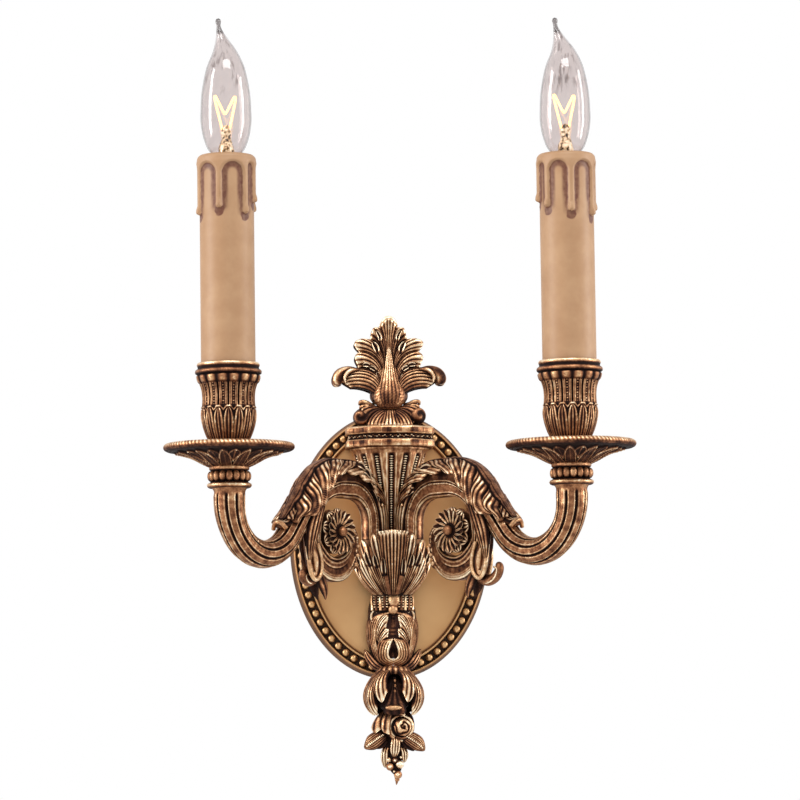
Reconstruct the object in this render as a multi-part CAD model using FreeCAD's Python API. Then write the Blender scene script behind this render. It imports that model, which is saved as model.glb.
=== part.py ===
"""Two-arm candle wall sconce in cast brass, in millimetres.

+Z is up, the sconce faces -Y and the wall is the plane Y = 0.  The origin is the middle of the
mounting bar's back face, behind the centre of the oval backplate.
"""
import FreeCAD
import Part

import os
from math import atan2, cos, degrees, hypot, pi, radians, sin, tan

V = FreeCAD.Vector
UP = V(0, 0, 1)
TO_WALL = V(0, 1, 0)

# ---- clearances ---------------------------------------------------------------------------------
SLIP = 0.3              # between a casting and what it is slipped over
THREAD_FIT = 0.1        # between a plain thread and its plain hole, on the radius
SCREW_FIT = 0.3         # clearance hole over a screw, on the radius

# ---- backplate ----------------------------------------------------------------------------------
PLATE_HALF_WIDTH = 60.6
PLATE_HALF_HEIGHT = 81.4
PLATE_SIDE = 9.0        # height of the straight outer wall
RIM_FRONT = 14.5        # how far the rim stands off the wall
RIM_BEVEL = 2.0
FIELD_FRONT = 12.0      # front of the smooth field, off the wall
FIELD_THICK = 2.5
PLATE_WALL = 3.0
GROOVE_FLOOR = 11.5
GROOVE_INSET = 2.9      # outer edge of the bead groove, in from the plate's edge
GROOVE_WIDTH = 6.2
FIELD_INSET = 10.6
BEAD_RADIUS = 2.5
BEAD_COUNT = 68

# ---- mounting bar and its hardware --------------------------------------------------------------
BAR_HEIGHT = 18.0
BAR_THICK = 1.6
BAR_HOLE = 8.0
BOX_NARROW = 69.85      # screw spacing of the small junction box
BOX_WIDE = 88.9         # screw spacing of the large junction box
BOX_SCREW_HOLE = 2.25
RIM_SCREW = 1.9
RIM_SCREW_HEAD = 3.4
RIM_SCREW_OUT = 5.5     # rim screws' height off the wall
GROUND_SCREW = 2.0
GROUND_AT = (16.0, 4.0)

# ---- pipe thread shared by every nipple ---------------------------------------------------------
NIPPLE_RADIUS = 4.86
NIPPLE_BORE = 3.4
NUT_FLATS = 14.0
NUT_THICK = 3.2

# ---- central body -------------------------------------------------------------------------------
BODY_OUT = 21.0         # urn and finial axis, off the wall
HUB_OUT = 24.0          # the two arm planes meet here
CALYX_OUT = 28.0
DROP_OUT = 30.0
HUB_TOP = 2.0
HUB_HEIGHT = 16.0
HUB_RADIUS = 18.8
HUB_NIPPLE_Z = -8.5
HUB_NIPPLE_DEPTH = 10.0
HUB_CAVITY_HALF = 13.0
HUB_CAVITY_FRONT = 38.5
HUB_CAVITY_HEIGHT = 10.0
URN_BOTTOM_RADIUS = 6.6
URN_TOP_RADIUS = 23.5
URN_TOP = 58.0
URN_FLUTE = 1.5
URN_FLUTES = 7
CAP_HALF_WIDTH = 26.6
CAP_FACET_HALF = 13.0
CAP_HEIGHT = 12.8
CAP_GROOVE = 1.4
CAP_OUT = 46.0
COLLAR_HEIGHT = 13.5
FINIAL_TOP = 137.5
FINIAL_DEPTH = 9.0
CALYX_RADIUS = 20.8
CALYX_FOOT_RADIUS = 12.0
CALYX_BOTTOM = -31.5
CALYX_RIM = 1.0
BRACKET_RADIUS = 14.8
BRACKET_BOTTOM = -74.0
DROP_RADIUS = 16.4
DROP_CENTRE = -89.5
DROP_BOTTOM = -103.5
ROSE_RADIUS = 9.0
ROSE_CENTRE = -110.5
TAIL_TIP = -144.8
ROD_RADIUS = 2.5
ROD_DEPTH = 5.0
BODY_SCREW = 2.4
BODY_SCREW_HEAD = 4.2
BODY_SCREW_HEAD_THICK = 2.6
BODY_SCREW_BITE = 6.0
BODY_SCREWS_Z = (44.0, -45.0, -64.0)

# ---- arms, in their own plane: distance from the hub axis, and height ---------------------------
CANDLE_SIDE = 98.3      # candle axis to the middle of the sconce
CANDLE_OUT = 138.0      # candle axis off the wall
ARM_LEG = 16.0
ARCH_Z = 38.5
LEG_BEND = 26.0
ARCH_BEND = 25.0
SWEEP_BEND = 30.0
CUP_BEND = 29.0
SLOPE = radians(52.0)
SWEEP_Z = -9.5
TUBE_RADIUS = 7.8
TUBE_WALL = 2.0
TUBE_FLARE = 10.6
TUBE_FLARE_HEIGHT = 6.0
ROOT_RADIUS = 5.5
ROOT_WALL = 1.5
SPIGOT_RADIUS = 4.0
SPIGOT_WALL = 1.2
SPIGOT_LENGTH = 6.0
TUBE_START = 16.0       # where the outer tube begins, up the slope from its lower bend
TUBE_LAP = 8.0
LEAF_THICK = 2.2
LEAF_HALF_ANGLE = radians(95.0)
LEAF_START = radians(45.0)
LEAF_END = radians(15.0)
LEAF_NOTCH = 1.6        # round notches between the lobes along both edges
LEAF_CURL = 2.6         # rolled tip
LEAF_CURL_HALF = 4.5
BAND_THICK = 5.0
BAND_WIDTH = 10.0
BAND_INNER = 25.0
BAND_OUTER = 78.0
BAND_TOP_Z = 29.5
BAND_SIDE_BEND = 29.0
BAND_CURL = 20.5
BAND_EYE_BEND = 6.5
BAND_END_Z = 4.0        # where the band's straight end stands over the hub
EYE_AT = (49.0, 7.0)
EYE_RADIUS = 7.5
TAIL_THICK = 3.5
TAIL_WIDTH = 8.0
TAIL_SIDE = 6.0         # tail leaf beyond the band's outer line
TAIL_DROP = 5.5
TAIL_HOOK = 4.5
ROSETTE_RADIUS = 13.6
ROSETTE_PETALS = 15
ROSETTE_BACK = 1.6
ROSETTE_THICK = 4.0
ROSETTE_SCREW = 1.6
ROSETTE_BOSS = 3.2

# ---- candle, from the arm's end up --------------------------------------------------------------
ARM_END_Z = 30.0
BEAD_COLLAR_HEIGHT = 12.0
BEAD_COLLAR_BEADS = 15
DISH_RADIUS = 35.4
DISH_RIM = 2.1
DISH_RIM_Z = 51.0
DISH_SEAT_Z = 45.0
CUP_FLOOR_Z = 60.0
CUP_WELL_RADIUS = 13.2
CUP_LEDGE_Z = 88.0
CUP_TOP_Z = 99.3
LEG_THICK = 1.5
LEG_WIDTH = 9.0
SLEEVE_RADIUS = 15.66
SLEEVE_WALL = 1.8
SLEEVE_TOP_Z = 219.5
SLEEVE_MOUTH = 9.5
DRIP_RADIUS = 17.3      # outside of the wax cap
DRIP_CAP_HEIGHT = 8.0
DRIP_ROUND = 2.8        # half a drip's width
DRIPS = ((8, 34), (52, 39), (98, 35), (142, 32), (184, 29), (221, 33), (274, 37), (328, 38))
SOCKET_RADIUS = 10.2
SOCKET_WELL = 7.6
SOCKET_BOTTOM_Z = 170.0
SOCKET_TOP_Z = 212.0
SOCKET_FLOOR_Z = 186.0
SHELL_WALL = 0.9
CONTACT_HEIGHT = 2.6

# ---- bulb ---------------------------------------------------------------------------------------
BASE_RADIUS = 5.95
BASE_HEIGHT = 20.0
BASE_WALL = 0.35
BASE_FIT = 0.35         # between the bulb's base and the screw shell, on the radius
CONTACT_GAP = 0.3
CONTACT_RADIUS = 2.4
INSULATOR_RADIUS = 4.2
INSULATOR_HEIGHT = 4.0
SEAT_GAP = 0.1
GLASS_WALL = 0.7
BULB_LENGTH = 111.0
GLASS_RADIUS = 14.7
FILAMENT_WIRE = 0.4
FILAMENT_HALF_WIDTH = 6.4
FILAMENT_FOOT = 1.2
FILAMENT_WAIST = 2.4
STEM_HEIGHT = 35.0

# ---- leads --------------------------------------------------------------------------------------
LEAD_RADIUS = 1.3
LEAD_SPREAD = 1.9       # each lead's place in the hub nipple, off the middle
LEAD_OUT = 3.6          # leads behind the plate, off the wall
LEAD_TURN = 3.0
CONNECTOR_RADIUS = 3.4
CONNECTOR_LENGTH = 18.0
CONNECTOR_AT = (9.0, -22.0)

# ---- values worked out from those above ---------------------------------------------------------
ARM_ANGLE = degrees(atan2(CANDLE_OUT - HUB_OUT, CANDLE_SIDE))
FIELD_BACK = FIELD_FRONT - FIELD_THICK
REACH = hypot(CANDLE_SIDE, CANDLE_OUT - HUB_OUT)
HUB_BOTTOM = HUB_TOP - HUB_HEIGHT
CAP_TOP = URN_TOP + CAP_HEIGHT
COLLAR_TOP = CAP_TOP + COLLAR_HEIGHT
SHELL_OUTER = BASE_RADIUS + BASE_FIT + SHELL_WALL
BULB_BOTTOM_Z = SOCKET_FLOOR_Z + CONTACT_HEIGHT + CONTACT_GAP
BASE_Z = BULB_BOTTOM_Z + INSULATOR_HEIGHT + SEAT_GAP
STEM_Z = BASE_Z + 2.5
BULB_TIP_Z = BULB_BOTTOM_Z + BULB_LENGTH


# ---- shape helpers ------------------------------------------------------------------------------
def ring_face(at, direction, outer, inner=0.0):
    """Flat disc, or ring where inner is given."""
    wires = [Part.Wire(Part.makeCircle(r, at, direction)) for r in (outer, inner) if r]
    return Part.makeFace(wires, "Part::FaceMakerBullseye")


def rod(start, end, outer, inner=0.0):
    return ring_face(start, end - start, outer, inner).extrude(end - start)


def block(low, high):
    size = high - low
    return Part.makeBox(size.x, size.y, size.z, low)


def joined(shapes):
    return shapes[0].multiFuse(shapes[1:]).removeSplitter()


def outline(steps, place):
    """Closed wire through steps: a point is a corner, a list of points is a smooth stretch."""
    edges = []
    here = steps[0]
    for step in list(steps[1:]) + [steps[0]]:
        if isinstance(step, list):
            curve = Part.BSplineCurve()
            curve.interpolate([place(*p) for p in [here] + step])
            edges.append(curve.toShape())
            here = step[-1]
        elif step != here:
            edges.append(Part.makeLine(place(*here), place(*step)))
            here = step
    return Part.Wire(edges)


def turned(steps, out=0.0, across=0.0, angle=360.0):
    """Solid of revolution about a vertical axis; steps are (radius, z)."""
    wire = outline(steps, lambda r, z: V(across + r, -out, z))
    return Part.Face(wire).revolve(V(across, -out, 0), UP, angle)


def slab(steps, back, front):
    """Outline in (x, z) between two distances off the wall."""
    wire = outline(steps, lambda x, z: V(x, -back, z))
    return Part.Face(wire).extrude(V(0, back - front, 0))


def petal(base, tip, base_radius, tip_radius, back, front):
    """Flat petal in the XZ plane: two rounds and the strip between them."""
    a, b = V(base[0], -back, base[1]), V(tip[0], -back, tip[1])
    side = (b - a).cross(TO_WALL).normalize()
    corners = [a + side * base_radius, b + side * tip_radius, b - side * tip_radius, a - side * base_radius]
    thick = V(0, back - front, 0)
    strip = Part.Face(Part.makePolygon(corners + corners[:1])).extrude(thick)
    return joined([strip, rod(a, a + thick, base_radius), rod(b, b + thick, tip_radius)])


def bends(points, radii):
    """Straight runs and tangent arcs along points; radii belong to the inner points."""
    here = points[0]
    for i, radius in enumerate(radii, 1):
        corner = points[i]
        into, away = (corner - points[i - 1]).normalize(), (points[i + 1] - corner).normalize()
        turn = into.getAngle(away)
        start = corner - into * (radius * tan(turn / 2))
        axis = into.cross(away).normalize()
        if (start - here).Length > 0.001:
            yield "run", here, start, None, None
        yield "bend", start, into, (start + axis.cross(into) * radius, axis), degrees(turn)
        here = corner + away * (radius * tan(turn / 2))
    if (points[-1] - here).Length > 0.001:
        yield "run", here, points[-1], None, None


def swept(section, points, radii):
    """Carry a flat section along the runs and arcs of a path."""
    solids = []
    for kind, start, other, about, turn in bends(points, radii):
        if kind == "run":
            solids.append(section(start, (other - start).normalize()).extrude(other - start))
        else:
            solids.append(section(start, other).revolve(*about, turn))
    return joined(solids)


def round_section(outer, inner=0.0):
    return lambda at, direction: ring_face(at, direction, outer, inner)


def flat_section(thick, width):
    """Rectangle across a path in the arm's plane, thick in the plane and wide across it."""
    def face(at, direction):
        rise, across = direction.cross(TO_WALL) * (thick / 2), TO_WALL * (width / 2)
        corners = [at + rise + across, at + rise - across, at - rise - across, at - rise + across]
        return Part.Face(Part.makePolygon(corners + corners[:1]))
    return face


def saddle_section(inner, outer, half_angle):
    """Open C over the upper side of a path in the arm's plane."""
    def face(at, direction):
        rise = direction.cross(TO_WALL)

        def on(radius, angle):
            return at + rise * (radius * cos(angle)) + TO_WALL * (radius * sin(angle))
        a = half_angle
        edges = [Part.Arc(on(outer, -a), on(outer, 0), on(outer, a)).toShape(),
                 Part.makeLine(on(outer, a), on(inner, a)),
                 Part.Arc(on(inner, a), on(inner, 0), on(inner, -a)).toShape(),
                 Part.makeLine(on(inner, -a), on(outer, -a))]
        return Part.Face(Part.Wire(edges))
    return face


def hexagon(flats, start, end):
    """Hexagonal prism along Y or Z between two points."""
    axis = end - start
    across = V(1, 0, 0)
    up = axis.cross(across).normalize()
    corner = flats / 2 / cos(pi / 6)
    points = [start + across * (corner * cos(k * pi / 3)) + up * (corner * sin(k * pi / 3)) for k in range(7)]
    return Part.Face(Part.makePolygon(points)).extrude(axis)


def arm_plane(s, z, front=0.0):
    """Point in the right arm's own frame, before it is turned to its place."""
    return V(s, -front, z)


def to_right(shape):
    """Turn the arm's plane forward and move it to the hub."""
    placed = shape.copy()
    placed.rotate(V(0, 0, 0), UP, -ARM_ANGLE)
    placed.translate(V(0, -HUB_OUT, 0))
    return placed


def to_left(shape):
    return shape.mirror(V(0, 0, 0), V(1, 0, 0))


def arm_point(s, z):
    """The same turn for one point."""
    a = radians(ARM_ANGLE)
    return V(s * cos(a), -HUB_OUT - s * sin(a), z)


NODES = {}


def keep(name, shape):
    NODES[name] = shape


def keep_both(name, right):
    """A piece of the right side and its mirror image on the left."""
    NODES[name + "_right"] = right
    NODES[name + "_left"] = to_left(right)


# ---- backplate and its mounting -----------------------------------------------------------------
def oval(inset, back, front):
    """Elliptical slab, inset from the plate's edge."""
    wide, high = PLATE_HALF_WIDTH - inset, PLATE_HALF_HEIGHT - inset
    edge = Part.Ellipse(V(0, -back, high), V(wide, -back, 0), V(0, -back, 0)).toShape()
    return Part.Face(Part.Wire(edge)).extrude(V(0, back - front, 0))


def backplate():
    side = oval(0, 0, PLATE_SIDE)
    rim = oval(RIM_BEVEL, 0, RIM_FRONT)
    inset = GROOVE_INSET + GROOVE_WIDTH / 2
    plate = side.fuse(rim)
    plate = plate.cut(oval(GROOVE_INSET, GROOVE_FLOOR, RIM_FRONT).cut(
        oval(GROOVE_INSET + GROOVE_WIDTH, GROOVE_FLOOR, RIM_FRONT)))
    plate = plate.cut(oval(FIELD_INSET, FIELD_FRONT, RIM_FRONT))
    plate = plate.cut(oval(PLATE_WALL, 0, FIELD_BACK))
    beads = []
    for k in range(BEAD_COUNT):
        x, z = bead_place(k, PLATE_HALF_WIDTH - inset, PLATE_HALF_HEIGHT - inset)
        beads.append(Part.makeSphere(BEAD_RADIUS, V(x, -GROOVE_FLOOR, z)).cut(
            block(V(x - 4, -GROOVE_FLOOR, z - 4), V(x + 4, 0, z + 4))))
    plate = plate.multiFuse(beads)
    holes = [rod(V(0, 0, HUB_NIPPLE_Z), V(0, -FIELD_FRONT, HUB_NIPPLE_Z), NIPPLE_RADIUS + SCREW_FIT)]
    holes += [rod(V(0, 0, z), V(0, -FIELD_FRONT, z), BODY_SCREW + SCREW_FIT) for z in BODY_SCREWS_Z]
    holes.append(rod(V(-PLATE_HALF_WIDTH, -RIM_SCREW_OUT, 0), V(PLATE_HALF_WIDTH, -RIM_SCREW_OUT, 0),
                     RIM_SCREW + SCREW_FIT))
    return plate.cut(Part.makeCompound(holes))


def bead_place(k, wide, high):
    """Bead k of the border, the beads evenly spaced along the oval."""
    steps = 720
    angles = [2 * pi * i / steps for i in range(steps + 1)]
    lengths = [0.0]
    for a, b in zip(angles, angles[1:]):
        lengths.append(lengths[-1] + hypot(wide * (cos(b) - cos(a)), high * (sin(b) - sin(a))))
    wanted = lengths[-1] * (k + 0.5) / BEAD_COUNT
    i = next(i for i, length in enumerate(lengths) if length >= wanted)
    return wide * cos(angles[i]), high * sin(angles[i])


def crossbar():
    """Steel bar with two slots for the junction box screws and an ear at each end."""
    half = PLATE_HALF_WIDTH - PLATE_WALL - 2 * SLIP
    bar = block(V(-half, -BAR_THICK, -BAR_HEIGHT / 2), V(half, 0, BAR_HEIGHT / 2))
    for side in (-1, 1):
        ends = sorted((side * half, side * (half - BAR_THICK)))
        bar = bar.fuse(block(V(ends[0], -FIELD_BACK + SLIP, -RIM_SCREW_OUT), V(ends[1], 0, RIM_SCREW_OUT)))
        slot = [V(side * x / 2, 0, 0) for x in (BOX_NARROW, BOX_WIDE)]
        through = V(0, -BAR_THICK, 0)
        for centre in slot:
            bar = bar.cut(rod(centre, centre + through, BOX_SCREW_HOLE))
        near, far = sorted(p.x for p in slot)
        bar = bar.cut(block(V(near, -BAR_THICK, -BOX_SCREW_HOLE), V(far, 0, BOX_SCREW_HOLE)))
    bar = bar.cut(rod(V(-half, -RIM_SCREW_OUT, 0), V(half, -RIM_SCREW_OUT, 0), RIM_SCREW + THREAD_FIT))
    bar = bar.cut(rod(V(0, 0, 0), V(0, -BAR_THICK, 0), BAR_HOLE))
    x, z = GROUND_AT
    return bar.cut(rod(V(x, 0, z), V(x, -BAR_THICK, z), GROUND_SCREW + THREAD_FIT)).removeSplitter()


def ground_screw():
    x, z = GROUND_AT
    head = hexagon(3 * GROUND_SCREW, V(x, -BAR_THICK, z), V(x, -BAR_THICK - GROUND_SCREW, z))
    return joined([rod(V(x, 0, z), V(x, -BAR_THICK, z), GROUND_SCREW), head])


def rim_screws():
    """Two round-headed screws through the plate's side wall into the bar's ears."""
    inner = PLATE_HALF_WIDTH - PLATE_WALL - 3 * BAR_THICK
    screws = []
    for side in (-1, 1):
        def at(x):
            return V(side * x, -RIM_SCREW_OUT, 0)
        shank = rod(at(inner), at(PLATE_HALF_WIDTH), RIM_SCREW)
        dome = Part.makeSphere(RIM_SCREW_HEAD, at(PLATE_HALF_WIDTH - RIM_SCREW_HEAD / 2))
        flat = rod(at(0), at(PLATE_HALF_WIDTH), 2 * RIM_SCREW_HEAD)
        screws.append(joined([shank, dome.cut(flat)]))
    return Part.makeCompound(screws)


def body_screws():
    """Identical pan-headed screws from behind the plate into the urn and the bracket."""
    screws = []
    for z in BODY_SCREWS_Z:
        def at(out):
            return V(0, -out, z)
        shank = rod(at(FIELD_BACK), at(FIELD_FRONT + BODY_SCREW_BITE), BODY_SCREW)
        head = rod(at(FIELD_BACK - BODY_SCREW_HEAD_THICK), at(FIELD_BACK), BODY_SCREW_HEAD)
        screws.append(joined([shank, head]))
    return Part.makeCompound(screws)


def screw_bores():
    return Part.makeCompound([rod(V(0, -FIELD_FRONT, z), V(0, -FIELD_FRONT - BODY_SCREW_BITE - 1, z),
                                  BODY_SCREW + THREAD_FIT) for z in BODY_SCREWS_Z])


def plate_space():
    """Space behind the smooth field and inside the raised rim, cut out of the castings' backs."""
    field = block(V(-100, -FIELD_FRONT, -200), V(100, 60, 200))
    return field.fuse(oval(-SLIP, 0, RIM_FRONT + SLIP).cut(oval(FIELD_INSET + SLIP, 0, RIM_FRONT + 1)))


# ---- central body -------------------------------------------------------------------------------
def hub_sockets(radius, depth):
    foot = arm_point(ARM_LEG, HUB_TOP)
    return [rod(p, p - UP * depth, radius) for p in (foot, V(-foot.x, foot.y, foot.z))]


def hub():
    """Block that both arms stand in, hollow below for the leads."""
    body = rod(V(0, -CALYX_OUT, HUB_BOTTOM), V(0, -CALYX_OUT, HUB_TOP), HUB_RADIUS)
    body = body.cut(plate_space())
    half, nipple_end = HUB_CAVITY_HALF, FIELD_FRONT + HUB_NIPPLE_DEPTH
    body = body.cut(block(V(-half, -HUB_CAVITY_FRONT, HUB_BOTTOM),
                          V(half, -nipple_end, HUB_BOTTOM + HUB_CAVITY_HEIGHT)))
    body = body.cut(rod(V(0, -FIELD_FRONT, HUB_NIPPLE_Z), V(0, -nipple_end, HUB_NIPPLE_Z),
                        NIPPLE_RADIUS + THREAD_FIT))
    body = body.cut(Part.makeCompound(hub_sockets(SPIGOT_RADIUS + THREAD_FIT, SPIGOT_LENGTH)))
    return body.cut(rod_bore(HUB_TOP - ROD_DEPTH, HUB_TOP, fit=THREAD_FIT))


def hub_nipple():
    return rod(V(0, -FIELD_BACK + SLIP + NUT_THICK, HUB_NIPPLE_Z),
               V(0, -FIELD_FRONT - HUB_NIPPLE_DEPTH, HUB_NIPPLE_Z), NIPPLE_RADIUS, NIPPLE_BORE)


def hub_nut():
    nut = hexagon(NUT_FLATS, V(0, -FIELD_BACK + NUT_THICK, HUB_NIPPLE_Z), V(0, -FIELD_BACK, HUB_NIPPLE_Z))
    return nut.cut(rod(V(0, -FIELD_BACK + NUT_THICK, HUB_NIPPLE_Z), V(0, -FIELD_BACK, HUB_NIPPLE_Z),
                       NIPPLE_RADIUS + THREAD_FIT))


def tie_rod():
    return rod(V(0, -BODY_OUT, HUB_TOP - ROD_DEPTH), V(0, -BODY_OUT, COLLAR_TOP + ROD_DEPTH), ROD_RADIUS)


def rod_bore(low, high, out=BODY_OUT, fit=SLIP):
    return rod(V(0, -out, low), V(0, -out, high), ROD_RADIUS + fit)


def urn():
    """Tapered body with round-ended flutes and a flat back."""
    body = turned([(0, HUB_TOP), (URN_BOTTOM_RADIUS, HUB_TOP), (URN_TOP_RADIUS, URN_TOP), (0, URN_TOP)],
                  BODY_OUT)
    slope = (URN_TOP_RADIUS - URN_BOTTOM_RADIUS) / (URN_TOP - HUB_TOP)

    def on_side(angle, z):
        r = URN_BOTTOM_RADIUS + slope * (z - HUB_TOP)
        return V(r * sin(angle), -BODY_OUT - r * cos(angle), z)
    low, high = HUB_TOP + 2 * URN_FLUTE, URN_TOP - 4 * URN_FLUTE
    for k in range(URN_FLUTES):
        angle = pi * (k - (URN_FLUTES - 1) / 2) / URN_FLUTES
        body = body.cut(rod(on_side(angle, low), on_side(angle, high), URN_FLUTE / 2))
    return body.cut(plate_space()).cut(rod_bore(HUB_TOP, URN_TOP)).cut(screw_bores())


def urn_cap():
    """Two faceted bands with a groove between them."""
    def band(inset, low, high):
        half, facet = CAP_HALF_WIDTH - inset, CAP_FACET_HALF - inset * tan(pi / 8)
        front = CAP_OUT - inset
        plan = [(-half, FIELD_FRONT), (-half, front - half + facet), (-facet, front),
                (facet, front), (half, front - half + facet), (half, FIELD_FRONT)]
        points = [V(x, -y, low) for x, y in plan]
        return Part.Face(Part.makePolygon(points + points[:1])).extrude(V(0, 0, high - low))
    third = CAP_HEIGHT / 2 - CAP_GROOVE / 2
    cap = joined([band(0, URN_TOP, URN_TOP + third), band(CAP_GROOVE, URN_TOP + third, CAP_TOP - third),
                  band(0, CAP_TOP - third, CAP_TOP)])
    return cap.cut(rod_bore(URN_TOP, CAP_TOP)).cut(plate_space())


def finial_collar():
    """Waisted neck with two rolled leaf ends on each side and a row of petals in front."""
    z, h = CAP_TOP, COLLAR_HEIGHT
    neck = turned([(0, z), (15, z), [(11.5, z + h * 0.35), (9, z + h)], (0, z + h)], BODY_OUT)
    pieces = [neck]
    for side in (-1, 1):
        for reach, rise, r in ((16.6, 4.6, 4.4), (14.4, 9.8, 3.6)):
            centre = V(side * reach, -BODY_OUT, z + rise)
            pieces.append(rod(centre + TO_WALL * 5, centre - TO_WALL * 6, r))
            pieces.append(petal((0, z + rise - 1), (side * reach, z + rise), 3, r - 0.8,
                                BODY_OUT - 3, BODY_OUT + 5))
    for k in range(-3, 4):
        foot = V(4.2 * k, -BODY_OUT - 13 + 0.55 * k * k, z)
        pieces.append(rod(foot, foot + V(0, 0, 3.4), 1.9))
    return joined(pieces).cut(rod_bore(z, z + h)).cut(plate_space())


def finial():
    """Leaf crest: a round belly, a strong middle rib and four lobes on each side."""
    base = COLLAR_TOP
    back, front = BODY_OUT - FINIAL_DEPTH / 2, BODY_OUT + FINIAL_DEPTH / 2
    belly = turned([(0, base), (5, base), [(10, base + 4.5), (10.5, base + 10), (6, base + 17)],
                    (0, base + 17)], BODY_OUT)
    tip = FINIAL_TOP - 5.4
    pieces = [belly, petal((0, base + 9), (0, tip), 8, 5.4, back, front)]
    rib_low, rib_high = V(0, -front, base + 8), V(0, -front - 2, tip)
    pieces.append(Part.makeCone(5, 3, (rib_high - rib_low).Length, rib_low, rib_high - rib_low))
    pieces.append(Part.makeSphere(4.6, rib_high))
    for side in (-1, 1):
        for reach, rise, root, end in ((9.4, 40.6, 5, 4.2), (17.4, 34.4, 5.5, 4.6), (18.6, 25.2, 5.5, 4.2)):
            pieces.append(petal((side * 3, base + 9), (side * reach, base + rise), root, end,
                                back + 1, front - 1))
        pieces.append(petal((side * 5, base + 8), (side * 20, base + 19.5), 5.5, 4, back + 1, front - 1))
        pieces.append(petal((side * 20, base + 19.5), (side * 28, base + 14.5), 4, 5.4,
                            back - 1, front + 2))
    body = joined(pieces)
    return body.cut(rod_bore(base, base + ROD_DEPTH, fit=THREAD_FIT))


def calyx():
    """Leafy cup round the hub, with a flat back."""
    r, wall_r = CALYX_RADIUS, HUB_RADIUS + SLIP + THREAD_FIT
    cup = turned([(0, CALYX_BOTTOM), (CALYX_FOOT_RADIUS, CALYX_BOTTOM),
                  [(17, -21.5), (r - 0.4, -11), (r, -3), (r - 0.3, CALYX_RIM)],
                  (wall_r, CALYX_RIM), (wall_r, HUB_BOTTOM), (0, HUB_BOTTOM)], CALYX_OUT)
    lobes = [cup]
    for k in range(-3, 4):
        angle = k * pi / 9
        lean = V(sin(angle), -cos(angle), 0)
        foot = V(0, -CALYX_OUT, CALYX_BOTTOM + 2) + lean * (CALYX_FOOT_RADIUS - 0.5)
        knee = V(0, -CALYX_OUT, -9.0) + lean * (r - 0.6)
        lip = V(0, -CALYX_OUT, CALYX_RIM - 0.6 * abs(k)) + lean * (r - 0.2)
        for a, b, ra, rb in ((foot, knee, 1.6, 2.4), (knee, lip, 2.4, 1.9)):
            lobes.append(Part.makeCone(ra, rb, (b - a).Length, a, b - a))
            lobes.append(Part.makeSphere(rb, b))
    cup = joined(lobes)
    cup = cup.cut(rod(V(0, -CALYX_OUT, HUB_BOTTOM), V(0, -CALYX_OUT, HUB_BOTTOM + 40), wall_r))
    return cup.cut(plate_space())


def bracket():
    """Half-round leafy bracket under the calyx, with a clasp on top and a slit down the front."""
    r, top = BRACKET_RADIUS, CALYX_BOTTOM
    body = turned([(0, BRACKET_BOTTOM), (10.5, BRACKET_BOTTOM), [(13.6, -66), (r, -56), (r - 0.6, -42),
                   (12, top)], (0, top)], BODY_OUT)
    pieces = [body, rod(V(-11, -BODY_OUT - 11.5, top - 4.6), V(11, -BODY_OUT - 11.5, top - 4.6), 4.4),
              Part.makeSphere(3.6, V(0, -BODY_OUT - 15.5, top - 4.2)),
              Part.makeSphere(3.2, V(0, -BODY_OUT - 15.0, top - 8.6))]
    for side in (-1, 1):
        pieces.append(petal((side * 11, BRACKET_BOTTOM + 3), (side * 16.4, -61.5), 3.4, 1.6,
                            BODY_OUT - 6, BODY_OUT + 4))
    body = joined(pieces)
    slit = slab([(-2.6, -44), (2.6, -44), (1.6, -55.5), (-1.6, -55.5)], BODY_OUT + 10, BODY_OUT + 40)
    drop = rod(V(0, -BODY_OUT - 10, -64), V(0, -BODY_OUT - 40, -64), 3.0)
    return body.cut(slit).cut(drop).cut(plate_space()).cut(screw_bores()).cut(
        rod_bore(BRACKET_BOTTOM, BRACKET_BOTTOM + ROD_DEPTH, DROP_OUT, THREAD_FIT))


def ball_drop():
    """Hollow drop of hanging leaves, open below and in front."""
    r, z = DROP_RADIUS, DROP_CENTRE
    shell = turned([(0, BRACKET_BOTTOM), (8.5, BRACKET_BOTTOM), (9.5, BRACKET_BOTTOM - 2.5),
                    [(14.2, z + 8.5), (r, z), (13.6, z - 9), (10.5, DROP_BOTTOM)],
                    (8.6, DROP_BOTTOM), [(11.2, z - 8), (13.0, z), (10, z + 7)], (0, z + 9)], DROP_OUT)
    window = slab([(0, z + 4), (6.5, DROP_BOTTOM), (-6.5, DROP_BOTTOM)], DROP_OUT + 4, DROP_OUT + 30)
    return shell.cut(window).cut(rod_bore(DROP_BOTTOM, BRACKET_BOTTOM, DROP_OUT)).cut(plate_space())


def drop_stud():
    return rod(V(0, -DROP_OUT, BRACKET_BOTTOM + ROD_DEPTH), V(0, -DROP_OUT, ROSE_CENTRE), ROD_RADIUS)


def rose():
    """Rose head with a wrapped bud turned a little to the right, and a leaf on each side."""
    z = ROSE_CENTRE
    head = Part.makeSphere(ROSE_RADIUS, V(0, -DROP_OUT, z))
    bud = Part.makeCone(7.0, 5.6, 8, V(1.5, -DROP_OUT - 3, z), V(0.45, -1, -0.05))
    collar = Part.makeCone(6.0, 8.2, 8, V(0, -DROP_OUT, z + 8), V(0, 0, -1))
    pieces = [head, bud, collar]
    for side in (-1, 1):
        pieces.append(petal((side * 5, z - 5), (side * 13.6, z - 10.4), 3.6, 3.6, DROP_OUT - 2, DROP_OUT + 2))
    pieces.append(petal((0, z - 6), (0, z - 14), 5, 4.2, DROP_OUT - 3, DROP_OUT + 3))
    return joined(pieces).cut(rod_bore(z, z + 20, DROP_OUT, THREAD_FIT)).cut(plate_space())


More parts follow.
